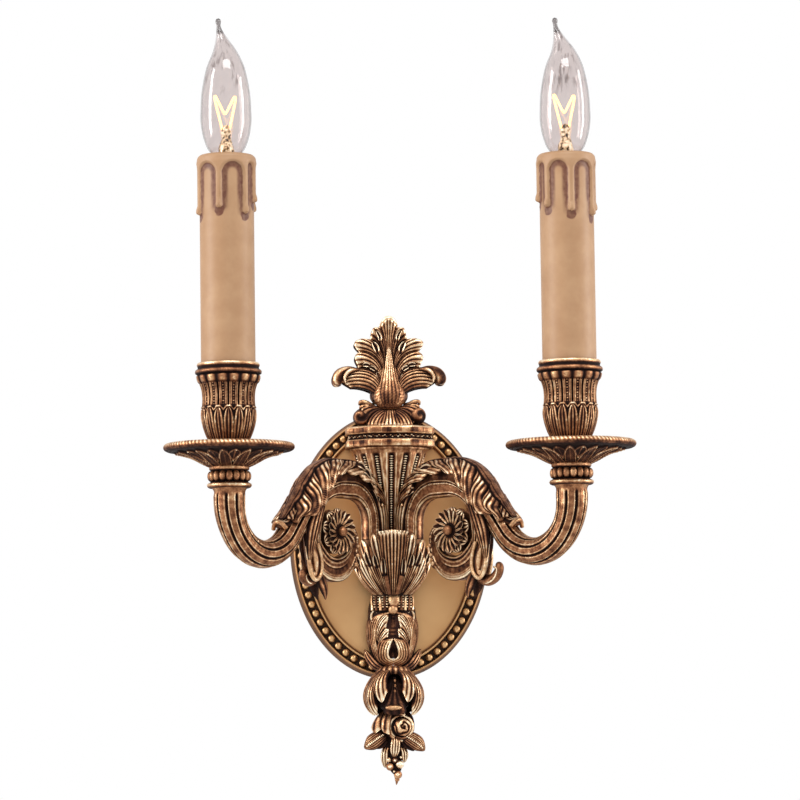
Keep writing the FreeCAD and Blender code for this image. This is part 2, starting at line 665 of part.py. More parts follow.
def berry_tail():
    """Small leaf, three berries and a tip hanging under the rose."""
    top, bottom = ROSE_CENTRE - 14 - 4.2, TAIL_TIP
    places = ((-3.0, 2.4, 2.9), (2.8, 3.4, 2.8), (0.4, 8.4, 2.9), (1.2, 12.0, 2.5))
    pieces = [Part.makeCone(4.2, 1.6, 10, V(0, -DROP_OUT, top), V(0, 0, -1))]
    pieces += [Part.makeSphere(r, V(x, -DROP_OUT - 1, top - drop)) for x, drop, r in places]
    pieces.append(Part.makeCone(1.9, 0.5, top - 12 - bottom, V(0.6, -DROP_OUT - 0.5, top - 12), V(0, 0, -1)))
    return joined(pieces).cut(block(V(-20, -DROP_OUT - 20, top), V(20, 0, top + 10)))


# ---- arms ---------------------------------------------------------------------------------------
def arm_route():
    """Corners and bends of the arm's centre line, from the hub to the candle."""
    drop = ARCH_Z - SWEEP_Z
    slope_run = (drop - (ARCH_BEND + SWEEP_BEND) * (1 - cos(SLOPE))) / sin(SLOPE)
    arch_back = ARCH_BEND * tan(SLOPE / 2)
    sweep_back = SWEEP_BEND * tan(SLOPE / 2)
    length = arch_back + slope_run + sweep_back
    arch_corner = REACH - CUP_BEND - sweep_back - length * cos(SLOPE)
    sweep_corner = REACH - CUP_BEND - sweep_back
    corners = [arm_plane(ARM_LEG, HUB_TOP), arm_plane(ARM_LEG, ARCH_Z), arm_plane(arch_corner, ARCH_Z),
               arm_plane(sweep_corner, SWEEP_Z), arm_plane(REACH, SWEEP_Z), arm_plane(REACH, ARM_END_Z)]
    return corners, [LEG_BEND, ARCH_BEND, SWEEP_BEND, CUP_BEND]


def up_the_slope(distance):
    """Point on the sloping run, a distance up from its lower bend."""
    corners, _ = arm_route()
    along = (corners[2] - corners[3]).normalize()
    return corners[3] + along * (SWEEP_BEND * tan(SLOPE / 2) + distance)


def arm_tube():
    """Outer tube from under the leaf, round the bend and up to a flared end."""
    corners, radii = arm_route()
    top = ARM_END_Z - TUBE_FLARE_HEIGHT
    path = [up_the_slope(TUBE_START), corners[3], corners[4], arm_plane(REACH, top)]
    tube = swept(round_section(TUBE_RADIUS, TUBE_RADIUS - TUBE_WALL), path, radii[2:])
    flare = turned([(NIPPLE_RADIUS + THREAD_FIT, top), (TUBE_RADIUS, top), (TUBE_FLARE, ARM_END_Z),
                    (NIPPLE_RADIUS + THREAD_FIT, ARM_END_Z)], across=REACH)
    return to_right(joined([tube, flare]))


def arm_root():
    """Inner pipe from the hub over the arch and into the outer tube."""
    corners, radii = arm_route()
    path = corners[:3] + [up_the_slope(TUBE_START - TUBE_LAP)]
    pipe = swept(round_section(ROOT_RADIUS, ROOT_RADIUS - ROOT_WALL), path, radii[:2])
    foot = corners[0]
    spigot = rod(foot - UP * SPIGOT_LENGTH, foot + UP * SPIGOT_WALL,
                 SPIGOT_RADIUS, SPIGOT_RADIUS - SPIGOT_WALL)
    return to_right(joined([pipe, spigot]))


def arm_leaf():
    """Acanthus leaf over the arch, notched into lobes, with a curled tip."""
    corners, radii = arm_route()
    back = LEG_BEND * tan(LEAF_START / 2)
    first = corners[1] + V(LEG_BEND - back, 0, 0)
    start = first - V(cos(LEAF_START), 0, sin(LEAF_START)) * back
    last_back = SWEEP_BEND * tan(LEAF_END / 2)
    down = (corners[3] - corners[2]).normalize()
    last = up_the_slope(0) + down * last_back
    angle = -SLOPE + LEAF_END
    end = last + V(cos(angle), 0, sin(angle)) * last_back
    inner = TUBE_RADIUS + SLIP
    path = [start, first, corners[2], last, end]
    outer = inner + LEAF_THICK
    leaf = swept(saddle_section(inner, outer, LEAF_HALF_ANGLE), path, [LEG_BEND, ARCH_BEND, SWEEP_BEND])
    rise = V(-sin(angle), 0, cos(angle))
    curl_at = end + rise * (outer + 0.4)
    curl = rod(curl_at + TO_WALL * LEAF_CURL_HALF, curl_at - TO_WALL * LEAF_CURL_HALF, LEAF_CURL)
    arch = arm_plane(corners[2].x - ARCH_BEND * tan(SLOPE / 2), ARCH_Z - ARCH_BEND)
    seats = [arch + V(sin(radians(a)), 0, cos(radians(a))) * ARCH_BEND for a in (-14, 10, 34)]
    seats += [up_the_slope(distance) for distance in (21, 11)]
    notches = [rod(p + TO_WALL * 2 * outer, p - TO_WALL * 2 * outer, LEAF_NOTCH) for p in seats]
    return to_right(joined([leaf, curl]).cut(Part.makeCompound(notches)))


def arm_scroll():
    """C-scroll band under the arch, curling in to its eye, with a hooked tail leaf outside."""
    eye_s, eye_z = EYE_AT
    low_z = BAND_TOP_Z - BAND_SIDE_BEND - BAND_CURL
    curl_s = BAND_OUTER - 2 * BAND_CURL
    path = [arm_plane(BAND_INNER, BAND_END_Z), arm_plane(BAND_INNER, BAND_TOP_Z),
            arm_plane(BAND_OUTER, BAND_TOP_Z), arm_plane(BAND_OUTER, low_z), arm_plane(curl_s, low_z),
            arm_plane(curl_s, eye_z), arm_plane(eye_s, eye_z)]
    radii = [LEG_BEND - (BAND_INNER - ARM_LEG), BAND_SIDE_BEND, BAND_CURL, BAND_CURL, BAND_EYE_BEND]
    band = swept(flat_section(BAND_THICK, BAND_WIDTH), path, radii)
    half = TO_WALL * (BAND_WIDTH / 2)
    eye = rod(arm_plane(*EYE_AT) + half, arm_plane(*EYE_AT) - half, EYE_RADIUS)
    tail_s, tail_z = BAND_OUTER + TAIL_SIDE, low_z - TAIL_DROP
    hook_s = tail_s + 2 * TAIL_HOOK
    tail = swept(flat_section(TAIL_THICK, TAIL_WIDTH),
                 [arm_plane(BAND_OUTER, 7), arm_plane(tail_s, -9), arm_plane(tail_s, tail_z),
                  arm_plane(hook_s, tail_z), arm_plane(hook_s, tail_z + 2 * TAIL_HOOK)],
                 [3 * TAIL_HOOK, TAIL_HOOK, TAIL_HOOK])
    hole = rod(arm_plane(*EYE_AT) + half, arm_plane(*EYE_AT) - half, ROSETTE_SCREW + THREAD_FIT)
    return to_right(joined([band, eye, tail]).cut(hole))


def rosette():
    """Round flower on the scroll's eye: a back disc, a ring of petals and a hole for its screw."""
    back = BAND_WIDTH / 2
    centre = arm_plane(EYE_AT[0], EYE_AT[1])
    disc = rod(centre - TO_WALL * back, centre - TO_WALL * (back + ROSETTE_BACK), ROSETTE_RADIUS * 0.72)
    pieces = [disc]
    for k in range(ROSETTE_PETALS):
        a = 2 * pi * k / ROSETTE_PETALS
        reach = ROSETTE_RADIUS - 2.2
        tip = (EYE_AT[0] + reach * cos(a), EYE_AT[1] + reach * sin(a))
        pieces.append(petal(EYE_AT, tip, 1.2, 2.2, back + 0.4, back + ROSETTE_THICK))
    hole = rod(centre, centre - TO_WALL * 20, ROSETTE_SCREW + SCREW_FIT)
    return to_right(joined(pieces).cut(hole))


def rosette_screw():
    back = BAND_WIDTH / 2
    centre = arm_plane(*EYE_AT)
    shank = rod(centre + TO_WALL * back, centre - TO_WALL * (back + ROSETTE_THICK), ROSETTE_SCREW)
    head = Part.makeSphere(ROSETTE_BOSS, centre - TO_WALL * (back + ROSETTE_THICK))
    cut = rod(centre + TO_WALL * 20, centre - TO_WALL * (back + ROSETTE_THICK), 2 * ROSETTE_BOSS)
    return to_right(joined([shank, head.cut(cut)]))


# ---- candle stack -------------------------------------------------------------------------------
def stacked(steps, angle=360.0):
    """Solid of revolution on the right candle's axis."""
    return turned(steps, CANDLE_OUT, CANDLE_SIDE, angle)


def on_candle(x=0.0, y=0.0, z=0.0):
    return V(CANDLE_SIDE + x, -CANDLE_OUT + y, z)


def nipple_hole(low, high):
    return rod(on_candle(z=low), on_candle(z=high), NIPPLE_RADIUS + SLIP)


def beaded_collar():
    z, h = ARM_END_Z, BEAD_COLLAR_HEIGHT
    body = stacked([(0, z), (12.3, z), (12.3, z + 2.4), (10.8, z + 3.2), (10.8, z + h - 3),
                    (11.5, z + h - 2.2), (11.5, z + h), (0, z + h)])
    beads = [body]
    for k in range(BEAD_COLLAR_BEADS):
        a = 2 * pi * k / BEAD_COLLAR_BEADS
        beads.append(Part.makeSphere(2.35, on_candle(10.6 * cos(a), 10.6 * sin(a), z + h / 2)))
    return joined(beads).cut(nipple_hole(z, z + h))


def bobeche():
    """Shallow drip dish with a rounded rim."""
    low, r, rim, z = ARM_END_Z + BEAD_COLLAR_HEIGHT, DISH_RADIUS, DISH_RIM, DISH_RIM_Z
    dish = stacked([(0, low), (12, low), [(16.5, low + 1.2), (23, low + 4.2), (29, low + 6.2), (r, z - 1.2)],
                    (r, z + 1.0), [(28, z - 0.9), (21, z - 2.8), (15, DISH_SEAT_Z)], (0, DISH_SEAT_Z)])
    ring = Part.makeTorus(r, rim, on_candle(z=z), UP)
    return joined([dish, ring]).cut(nipple_hole(low, z))


def candle_cup():
    """Lotus bulb, fluted waist and ringed lip, with a ledge inside for the sleeve."""
    bore = SLEEVE_RADIUS + SLIP
    cup = stacked([(0, DISH_SEAT_Z), (8.6, DISH_SEAT_Z), [(11.6, 49.5), (14.4, 58), (15.4, 65), (15.0, 71)],
                   [(15.1, 77), (15.9, 84), (17.8, CUP_LEDGE_Z)], (18.5, 89.3), (18.5, 92.2), (17.9, 92.8),
                   (19.3, 93.6), (19.3, 95.2), (17.8, 96.0), (18.1, CUP_TOP_Z - 0.6), (17.6, CUP_TOP_Z),
                   (bore, CUP_TOP_Z), (bore, CUP_LEDGE_Z), (CUP_WELL_RADIUS, CUP_LEDGE_Z),
                   (CUP_WELL_RADIUS, CUP_FLOOR_Z), (0, CUP_FLOOR_Z)])
    return cup.cut(nipple_hole(DISH_SEAT_Z, CUP_FLOOR_Z))


def arm_nipple():
    top = CUP_FLOOR_Z + LEG_THICK + NUT_THICK + 1.0
    return rod(on_candle(z=ARM_END_Z - TUBE_FLARE_HEIGHT), on_candle(z=top), NIPPLE_RADIUS, NIPPLE_BORE)


def nipple_nut():
    z = CUP_FLOOR_Z + LEG_THICK
    nut = hexagon(NUT_FLATS, on_candle(z=z), on_candle(z=z + NUT_THICK))
    return nut.cut(rod(on_candle(z=z), on_candle(z=z + NUT_THICK), NIPPLE_RADIUS + THREAD_FIT))


def socket_leg():
    """Bent steel strap that carries the lampholder above the cup."""
    z, half, near = CUP_FLOOR_Z, LEG_WIDTH / 2, SOCKET_RADIUS + THREAD_FIT
    foot = rod(on_candle(z=z), on_candle(z=z + LEG_THICK), NUT_FLATS / 2 + 1.5)
    tongue = block(on_candle(-half, 0, z), on_candle(half, near + LEG_THICK, z + LEG_THICK))
    strap = block(on_candle(-half, near, z), on_candle(half, near + LEG_THICK, SOCKET_BOTTOM_Z + 8))
    return joined([foot, tongue, strap]).cut(nipple_hole(z, z + LEG_THICK))


def socket_body():
    z, r, well = SOCKET_BOTTOM_Z, SOCKET_RADIUS, SOCKET_WELL
    return stacked([(0, z), (r, z), (r, SOCKET_TOP_Z), (well, SOCKET_TOP_Z), (well, SOCKET_FLOOR_Z),
                    (0, SOCKET_FLOOR_Z)])


def socket_shell():
    inner = BASE_RADIUS + BASE_FIT
    return stacked([(inner, BASE_Z - 4), (SHELL_OUTER, BASE_Z - 4), (SHELL_OUTER, SOCKET_TOP_Z - 0.5),
                    (inner, SOCKET_TOP_Z - 0.5)])


def socket_contact():
    return rod(on_candle(z=SOCKET_FLOOR_Z), on_candle(z=SOCKET_FLOOR_Z + CONTACT_HEIGHT), CONTACT_RADIUS)


def candle_sleeve():
    """Candle tube with a crown of wax drips."""
    inner, low, top = SLEEVE_RADIUS - SLEEVE_WALL, CUP_LEDGE_Z, SLEEVE_TOP_Z
    tube = stacked([(inner, low), (SLEEVE_RADIUS, low), (SLEEVE_RADIUS, top - DRIP_CAP_HEIGHT),
                    (DRIP_RADIUS - 0.3, top - DRIP_CAP_HEIGHT + 1.5),
                    [(DRIP_RADIUS, top - DRIP_CAP_HEIGHT / 2), (DRIP_RADIUS - 1.6, top - 1)],
                    (DRIP_RADIUS - 2.6, top), (SLEEVE_MOUTH, top), (SLEEVE_MOUTH, top - 2.4), (inner, top - 4.4)])
    drips = [tube]
    reach = DRIP_RADIUS + 0.3 - DRIP_ROUND
    for angle, length in DRIPS:
        a = radians(angle)
        at = on_candle(reach * cos(a), reach * sin(a), top - length + DRIP_ROUND)
        drips.append(rod(at, at + UP * (length - DRIP_CAP_HEIGHT), DRIP_ROUND))
        drips.append(Part.makeSphere(DRIP_ROUND, at))
    hollow = rod(on_candle(z=low), on_candle(z=top - 4.4), inner)
    return joined(drips).cut(hollow)


# ---- bulb ---------------------------------------------------------------------------------------
def bulb_outline(wall=0.0):
    """Flame-shaped envelope, drawn in by the glass wall for its inside."""
    z = BULB_TIP_Z
    neck = BASE_RADIUS - BASE_WALL - THREAD_FIT
    top = [(7.8, z - 80.5), (11.0, z - 76), (13.3, z - 69.5), (GLASS_RADIUS, z - 56), (13.9, z - 43),
           (11.2, z - 29.5), (7.6, z - 20), (3.1, z - 10.5), (1.2, z - 3)]
    inside = [(max(r - wall, 0.3), height) for r, height in top]
    return neck - wall, BASE_Z + BASE_HEIGHT, inside


def bulb_glass():
    low = BASE_Z + 8.0
    neck, knee, side = bulb_outline()
    neck_in, _, side_in = bulb_outline(GLASS_WALL)
    shell = [(neck, low), (neck, knee), side + [(0.0, BULB_TIP_Z)], (0.0, BULB_TIP_Z - 4)]
    return stacked(shell + [[(1.0, BULB_TIP_Z - 8)] + side_in[-3::-1] + [(neck_in, knee)], (neck_in, low)])


def bulb_base():
    """Candelabra screw base, drawn as a plain sleeve with a closed foot."""
    z, r = BASE_Z, BASE_RADIUS
    inner = r - BASE_WALL
    return stacked([(0, z), (r - 0.8, z), (r, z + 1.5), (r, z + BASE_HEIGHT), (inner, z + BASE_HEIGHT),
                    (inner, STEM_Z), (0, STEM_Z)])


def bulb_contact():
    """Centre contact in its insulator, which stays central while the bulb turns."""
    z = BULB_BOTTOM_Z
    return stacked([(0, z), (CONTACT_RADIUS - 0.6, z), (CONTACT_RADIUS, z + 0.8), (CONTACT_RADIUS, z + 1.4),
                    (INSULATOR_RADIUS, z + 2.4), (INSULATOR_RADIUS, z + INSULATOR_HEIGHT), (0, z + INSULATOR_HEIGHT)])


def bulb_mount():
    """Glass stem that carries the filament's supports."""
    low, top = STEM_Z, STEM_Z + STEM_HEIGHT
    return stacked([(0, low), (3.4, low), (3.4, top - 13), [(2.5, top - 7), (2.1, top - 1)], (2.1, top), (0, top)])


def filament():
    """M-shaped filament on its two support wires."""
    z, half, foot, waist = STEM_Z + STEM_HEIGHT, FILAMENT_HALF_WIDTH, FILAMENT_FOOT, FILAMENT_WAIST
    shape = [(-foot, z), (-foot, z + 3), (-waist, z + 6), (-half, z + 24), (0, z + 11),
             (half, z + 24), (waist, z + 6), (foot, z + 3), (foot, z)]
    bend = 2 * FILAMENT_WIRE
    return swept(round_section(FILAMENT_WIRE), [on_candle(x, 0, height) for x, height in shape], [bend] * 7)


# ---- leads --------------------------------------------------------------------------------------
def lead():
    """Twin lead drawn as one wire: lampholder, nipple, arm, hub, then out behind the plate."""
    corners, radii = arm_route()
    flat = [(corner.x, corner.z) for corner in corners]
    spread_s = LEAD_SPREAD / cos(radians(ARM_ANGLE))
    x, z = CONNECTOR_AT
    points = [arm_point(REACH, SOCKET_BOTTOM_Z)] + [arm_point(*flat[i]) for i in (4, 3, 2, 1)]
    points += [arm_point(ARM_LEG, HUB_NIPPLE_Z), arm_point(spread_s, HUB_NIPPLE_Z),
               V(LEAD_SPREAD, -LEAD_OUT, HUB_NIPPLE_Z), V(x, -LEAD_OUT, z + 6), V(x, -LEAD_OUT, z - 4)]
    turns = radii[::-1] + [LEAD_TURN + 0.5, LEAD_TURN, LEAD_RADIUS + 0.6, LEAD_TURN]
    return swept(round_section(LEAD_RADIUS), points, turns)


def wire_connector():
    """Twist-on cap over the lead's end."""
    x, z = CONNECTOR_AT
    cap = Part.makeCone(CONNECTOR_RADIUS, CONNECTOR_RADIUS - 1, CONNECTOR_LENGTH, V(x, -LEAD_OUT, z), V(0, 0, -1))
    return cap.cut(rod(V(x, -LEAD_OUT, z), V(x, -LEAD_OUT, z - 4), LEAD_RADIUS + THREAD_FIT))


# ---- everything ---------------------------------------------------------------------------------
def pair(shape):
    return Part.makeCompound([shape, to_left(shape)])


def build():
    keep("backplate", backplate())
    keep("crossbar", crossbar())
    keep("ground_screw", ground_screw())
    keep("rim_screws", rim_screws())
    keep("body_screws", body_screws())
    keep("hub", hub())
    keep("hub_nipple", hub_nipple())
    keep("hub_nut", hub_nut())
    keep("tie_rod", tie_rod())
    keep("urn", urn())
    keep("urn_cap", urn_cap())
    keep("finial_collar", finial_collar())
    keep("finial", finial())
    keep("calyx", calyx())
    keep("bracket", bracket())
    keep("ball_drop", ball_drop())
    keep("drop_stud", drop_stud())
    keep("rose", rose())
    keep("berry_tail", berry_tail())
    for name, make in (("arm_tube", arm_tube), ("arm_root", arm_root), ("arm_leaf", arm_leaf),
                       ("arm_scroll", arm_scroll), ("rosette", rosette), ("beaded_collar", beaded_collar),
                       ("bobeche", bobeche), ("candle_cup", candle_cup), ("socket_body", socket_body),
                       ("socket_shell", socket_shell), ("candle_sleeve", candle_sleeve),
                       ("bulb_glass", bulb_glass), ("bulb_base", bulb_base), ("bulb_contact", bulb_contact),
                       ("bulb_mount", bulb_mount), ("filament", filament), ("lead", lead)):
        keep_both(name, make())
    for name, make in (("rosette_screws", rosette_screw), ("arm_nipples", arm_nipple), ("nipple_nuts", nipple_nut),
                       ("socket_legs", socket_leg), ("socket_contacts", socket_contact),
                       ("wire_connectors", wire_connector)):
        keep(name, pair(make()))


build()
os.makedirs("parts", exist_ok=True)
for name, shape in NODES.items():
    print(name, len(shape.Solids), "solids", "sound" if shape.isValid() else "NOT SOUND")
    shape.exportStep(f"parts/{name}.step")
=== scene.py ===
"""Two-arm candle wall sconce in antique brass, dressed over its CAD frame.

Lengths are in millimetres until a mesh is made.  A point is (across, out, up): out is the distance
off the wall, so the mesh's y is minus out.
"""
from math import atan2, cos, hypot, pi, radians, sin

import bpy
import numpy as np
from mathutils import Matrix, Vector


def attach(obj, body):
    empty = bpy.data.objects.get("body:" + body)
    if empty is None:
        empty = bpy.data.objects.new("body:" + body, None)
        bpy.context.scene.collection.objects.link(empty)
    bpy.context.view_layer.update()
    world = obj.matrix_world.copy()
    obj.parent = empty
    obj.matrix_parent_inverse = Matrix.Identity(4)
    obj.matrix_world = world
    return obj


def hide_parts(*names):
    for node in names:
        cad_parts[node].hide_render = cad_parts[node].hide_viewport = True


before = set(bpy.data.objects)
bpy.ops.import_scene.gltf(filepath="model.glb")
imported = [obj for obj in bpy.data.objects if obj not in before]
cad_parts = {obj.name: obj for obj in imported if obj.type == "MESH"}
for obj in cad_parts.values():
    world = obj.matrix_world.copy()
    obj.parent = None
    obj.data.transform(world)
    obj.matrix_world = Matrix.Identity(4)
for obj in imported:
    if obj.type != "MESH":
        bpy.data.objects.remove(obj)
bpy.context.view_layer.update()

MM = 0.001

# ---- sizes taken from the CAD source; the cup's bore is rounded up ------------------------------
PLATE_HALF = (60.6, 81.4)
FIELD_OUT = 12.0
RIM_OUT = 14.5
BODY_OUT = 21.0
HUB_OUT = 24.0
CALYX_OUT = 28.0
DROP_OUT = 30.0
CANDLE_SIDE, CANDLE_OUT = 98.3, 138.0
ARM_ANGLE = atan2(CANDLE_OUT - HUB_OUT, CANDLE_SIDE)
REACH = hypot(CANDLE_SIDE, CANDLE_OUT - HUB_OUT)
ARM_CORNERS = [(16, 2), (16, 38.5), (69.4, 38.5), (106.9, -9.5), (REACH, -9.5), (REACH, 30)]
ARM_BENDS = [26, 25, 30, 29]
SCROLL_CORNERS = [(20.7, 2), (20.7, 31.2), (76.8, 31.2), (76.8, -16.8), (39.5, -16.8), (39.5, 7), (49, 7)]
SCROLL_BENDS = [19, 27.8, 20, 17, 6.0]
EYE = (49.0, 7.0)
CUP_BORE, SLEEVE_INSIDE = 16.0, 13.86
SLEEVE_RADIUS, SLEEVE_TOP = 15.66, 219.5
BULB_TIP = 299.9

# ---- choices made here --------------------------------------------------------------------------
FLOWER = (56.5, 5.6)      # the flowers' middle along the arm and up, outside and under the CAD eye
BORDER = 10.9             # width of the plate's beaded border
PLATE_BEADS = 68
WAX_RADIUS = 16.6         # where the candle's side is unrolled to draw its wax
FLUTE_PITCH = radians(40)
DISH_LEAVES, CUP_PETALS = 12, 16
SPLINE_STEPS = 24         # points worked out for each one given
PATH_POINTS = 1200        # points of an arm's path before a stretch is taken
ON_PLATE = ("urn", "urn_cap", "finial_collar", "calyx", "bracket")


# ---- shape helpers ------------------------------------------------------------------------------
def unit(v):
    """The same directions, each of length 1."""
    return v / np.maximum(np.linalg.norm(v, axis=-1, keepdims=True), 1e-9)


def rising(x, low, high):
    """0 below low, 1 above high, an S between them."""
    t = np.clip((x - low) / (high - low), 0, 1)
    return t * t * (3 - 2 * t)


def bump(x):
    """1 at 0, falling smoothly to 0 at -1 and 1."""
    return np.clip(1 - x * x, 0, 1) ** 2


def wrapped(x):
    """Distance to the nearest whole number, with its sign."""
    return (x + 0.5) % 1 - 0.5


def circle(n):
    """A row of n angles evenly spaced round a circle."""
    return np.linspace(0, 2 * pi, n, endpoint=False)[None, :]


def evenly(points, n, dims=3):
    """n rows at equal steps of length along points; columns past dims are carried along."""
    steps = np.linalg.norm(np.diff(points[:, :dims], axis=0), axis=1)
    length = np.append(0, np.cumsum(steps))
    wanted = np.linspace(0, length[-1], n)
    return np.stack([np.interp(wanted, length, column) for column in points.T], axis=1)


def spline(points, t):
    """Catmull-Rom curve: each stretch is a cubic of its four nearest points; t counts the points."""
    p = np.array(points, float)
    p = np.concatenate([2 * p[:1] - p[1:2], p, 2 * p[-1:] - p[-2:-1]])
    i = np.minimum(t.astype(int), len(p) - 4)
    f = (t - i).reshape((-1,) + (1,) * (p.ndim - 1))
    a, b, c, d = p[i], p[i + 1], p[i + 2], p[i + 3]
    return 0.5 * (2 * b + (c - a) * f + (2 * a - 5 * b + 4 * c - d) * f ** 2
                  + (3 * b - a - 3 * c + d) * f ** 3)


def smooth_line(points, n, dims=3):
    """n evenly spaced rows of the Catmull-Rom curve."""
    return evenly(spline(points, np.linspace(0, len(points) - 1, SPLINE_STEPS * len(points))), n, dims)


def bent_line(corners, bends, n):
    """Straight runs between corners with each inner corner rounded by a tangent arc."""
    c = np.array(corners, float)
    parts = [c[:1]]
    for i, radius in enumerate(bends, 1):
        into, away = unit(c[i] - c[i - 1]), unit(c[i + 1] - c[i])
        side = np.sign(into[0] * away[1] - into[1] * away[0])
        turn = np.arccos(np.clip(into @ away, -1, 1))
        start = c[i] - into * radius * np.tan(turn / 2)
        a = np.linspace(0, turn, 40)[:, None]
        inward = side * np.array([-into[1], into[0]])
        parts.append(start + radius * (np.sin(a) * into + (1 - np.cos(a)) * inward))
    parts.append(c[-1:])
    return evenly(np.vstack(parts), n, 2)


def on_arm(points, side):
    """Arm-plane points (along, front, up) turned to their arm; side is 1 for the right arm."""
    s, w, z = np.moveaxis(points, -1, 0)
    across = s * cos(ARM_ANGLE) - w * sin(ARM_ANGLE)
    out = s * sin(ARM_ANGLE) + w * cos(ARM_ANGLE) + HUB_OUT
    return np.stack([side * across, out, z], -1)


def off_the_plate(points):
    """Nothing goes behind the plate's smooth field, or behind its raised rim."""
    x, out, z = np.moveaxis(points, -1, 0)
    wide, high = PLATE_HALF
    over_plate = (x / wide) ** 2 + (z / high) ** 2 < 1
    over_field = (x / (wide - BORDER)) ** 2 + (z / (high - BORDER)) ** 2 < 1
    least = np.where(over_field, FIELD_OUT, np.where(over_plate, RIM_OUT + 0.3, -99))
    return np.stack([x, np.maximum(out, least), z], -1)


class Casting:
    """One piece, gathered from closed surfaces, each a grid of points whose columns go round.  With a
    side given, the grids are in the plane of that side's arm."""

    def __init__(self, side=None):
        self.side = side
        self.points, self.relief, self.quads, self.fans, self.count = [], [], [], [], 0

    def add(self, grid, relief=0.6, loop=False, strip=False, share=None):
        """Ends of the grid close in a point, or as a strip between the first half of the columns and
        the second; with loop set its rows go round too.  share scales the relief: under 1 is darker."""
        if self.side is not None:
            grid = on_arm(grid, self.side)
        if share is not None:
            relief = np.clip(relief * share, 0, 1)
        rows, columns = grid.shape[:2]
        here = np.arange(rows * columns).reshape(rows, columns)
        beside = np.roll(here, -1, axis=1)
        points = grid.reshape(-1, 3)
        relief = np.broadcast_to(relief, (rows, columns)).ravel()
        if loop:
            above, across = np.roll(here, -1, axis=0), np.roll(beside, -1, axis=0)
            quads = np.stack([here, beside, across, above], -1).reshape(-1, 4)
            fans = np.zeros((0, 3), int)
        else:
            quads = np.stack([here[:-1], beside[:-1], beside[1:], here[1:]], -1).reshape(-1, 4)
        if strip:
            k = np.arange(columns // 2 - 1)
            ends = np.stack([k + 1, k, columns - 1 - k, columns - 2 - k], -1)
            quads, fans = np.vstack([quads, ends, ends[:, ::-1] + here[-1, 0]]), np.zeros((0, 3), int)
        elif not loop:
            low, high = np.full(columns, rows * columns), np.full(columns, rows * columns + 1)
            fans = np.vstack([np.stack([beside[0], here[0], low], -1),
                              np.stack([here[-1], beside[-1], high], -1)])
            points = np.vstack([points, grid[0].mean(0), grid[-1].mean(0)])
            relief = np.append(relief, [relief[:columns].mean(), relief[-columns:].mean()])
        sides = np.vstack([quads[:, [0, 1, 2]], quads[:, [0, 2, 3]], fans])
        a, b, c = (points[sides[:, k]] - points.mean(0) for k in range(3))
        if np.einsum("ij,ij->", a, np.cross(b, c)) > 0:
            quads, fans = quads[:, ::-1], fans[:, ::-1]
        self.points.append(points)
        self.relief.append(relief)
        self.quads.append(quads + self.count)
        self.fans.append(fans + self.count)
        self.count += len(points)

    def lobe(self, *shape, share=None, **how):
        self.add(*lobe(*shape, **how), share=share)

    def fan(self, *shape, share=None, **how):
        self.add(*fan(*shape, **how), share=share)

    def settle(self, name, nodes, finish=None, slot="antique_brass", body="sconce"):
        """Makes the mesh, in metres, and puts it on its body in place of the CAD nodes; antique brass
        unless a finish is given."""
        points = np.vstack(self.points)
        if nodes[0] in ON_PLATE:
            points = off_the_plate(points)
        points = points * [MM, -MM, MM]
        quads, fans = np.vstack(self.quads), np.vstack(self.fans)
        mesh = bpy.data.meshes.new(name)
        mesh.vertices.add(len(points))
        mesh.vertices.foreach_set("co", points.astype(np.float32).ravel())
        starts = np.append(4 * np.arange(len(quads)), 4 * len(quads) + 3 * np.arange(len(fans)))
        mesh.loops.add(4 * len(quads) + 3 * len(fans))
        mesh.polygons.add(len(starts))
        mesh.loops.foreach_set("vertex_index", np.append(quads, fans).astype(np.int32))
        mesh.polygons.foreach_set("loop_start", starts.astype(np.int32))
        mesh.update(calc_edges=True)
        mesh.shade_smooth()
        relief = mesh.attributes.new("relief", "FLOAT", "POINT")
        relief.data.foreach_set("value", np.concatenate(self.relief).astype(np.float32))
        mesh.materials.append(finish or ANTIQUE)
        piece = bpy.data.objects.new(name, mesh)
        bpy.context.scene.collection.objects.link(piece)
        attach(piece, body)
        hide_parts(*nodes)
        return piece


def lathe(profile, columns, shape=None, across=0.0, out=0.0):
    """Rows of (radius, up) turned about a vertical axis.  shape(psi, radius, up) gives what is added
    to the radius, what is added to the height, and the relief; psi is 0 in front, + to the right."""
    psi = np.linspace(-pi, pi, columns, endpoint=False)[None, :]
    r, z = profile[:, :1] + 0 * psi, profile[:, 1:2] + 0 * psi
    relief = 0.6
    if shape:
        grow, lift, relief = shape(psi, r, z)
        r, z = r + grow, z + lift
    return np.stack([across + r * np.sin(psi), out + r * np.cos(psi), z], -1), relief


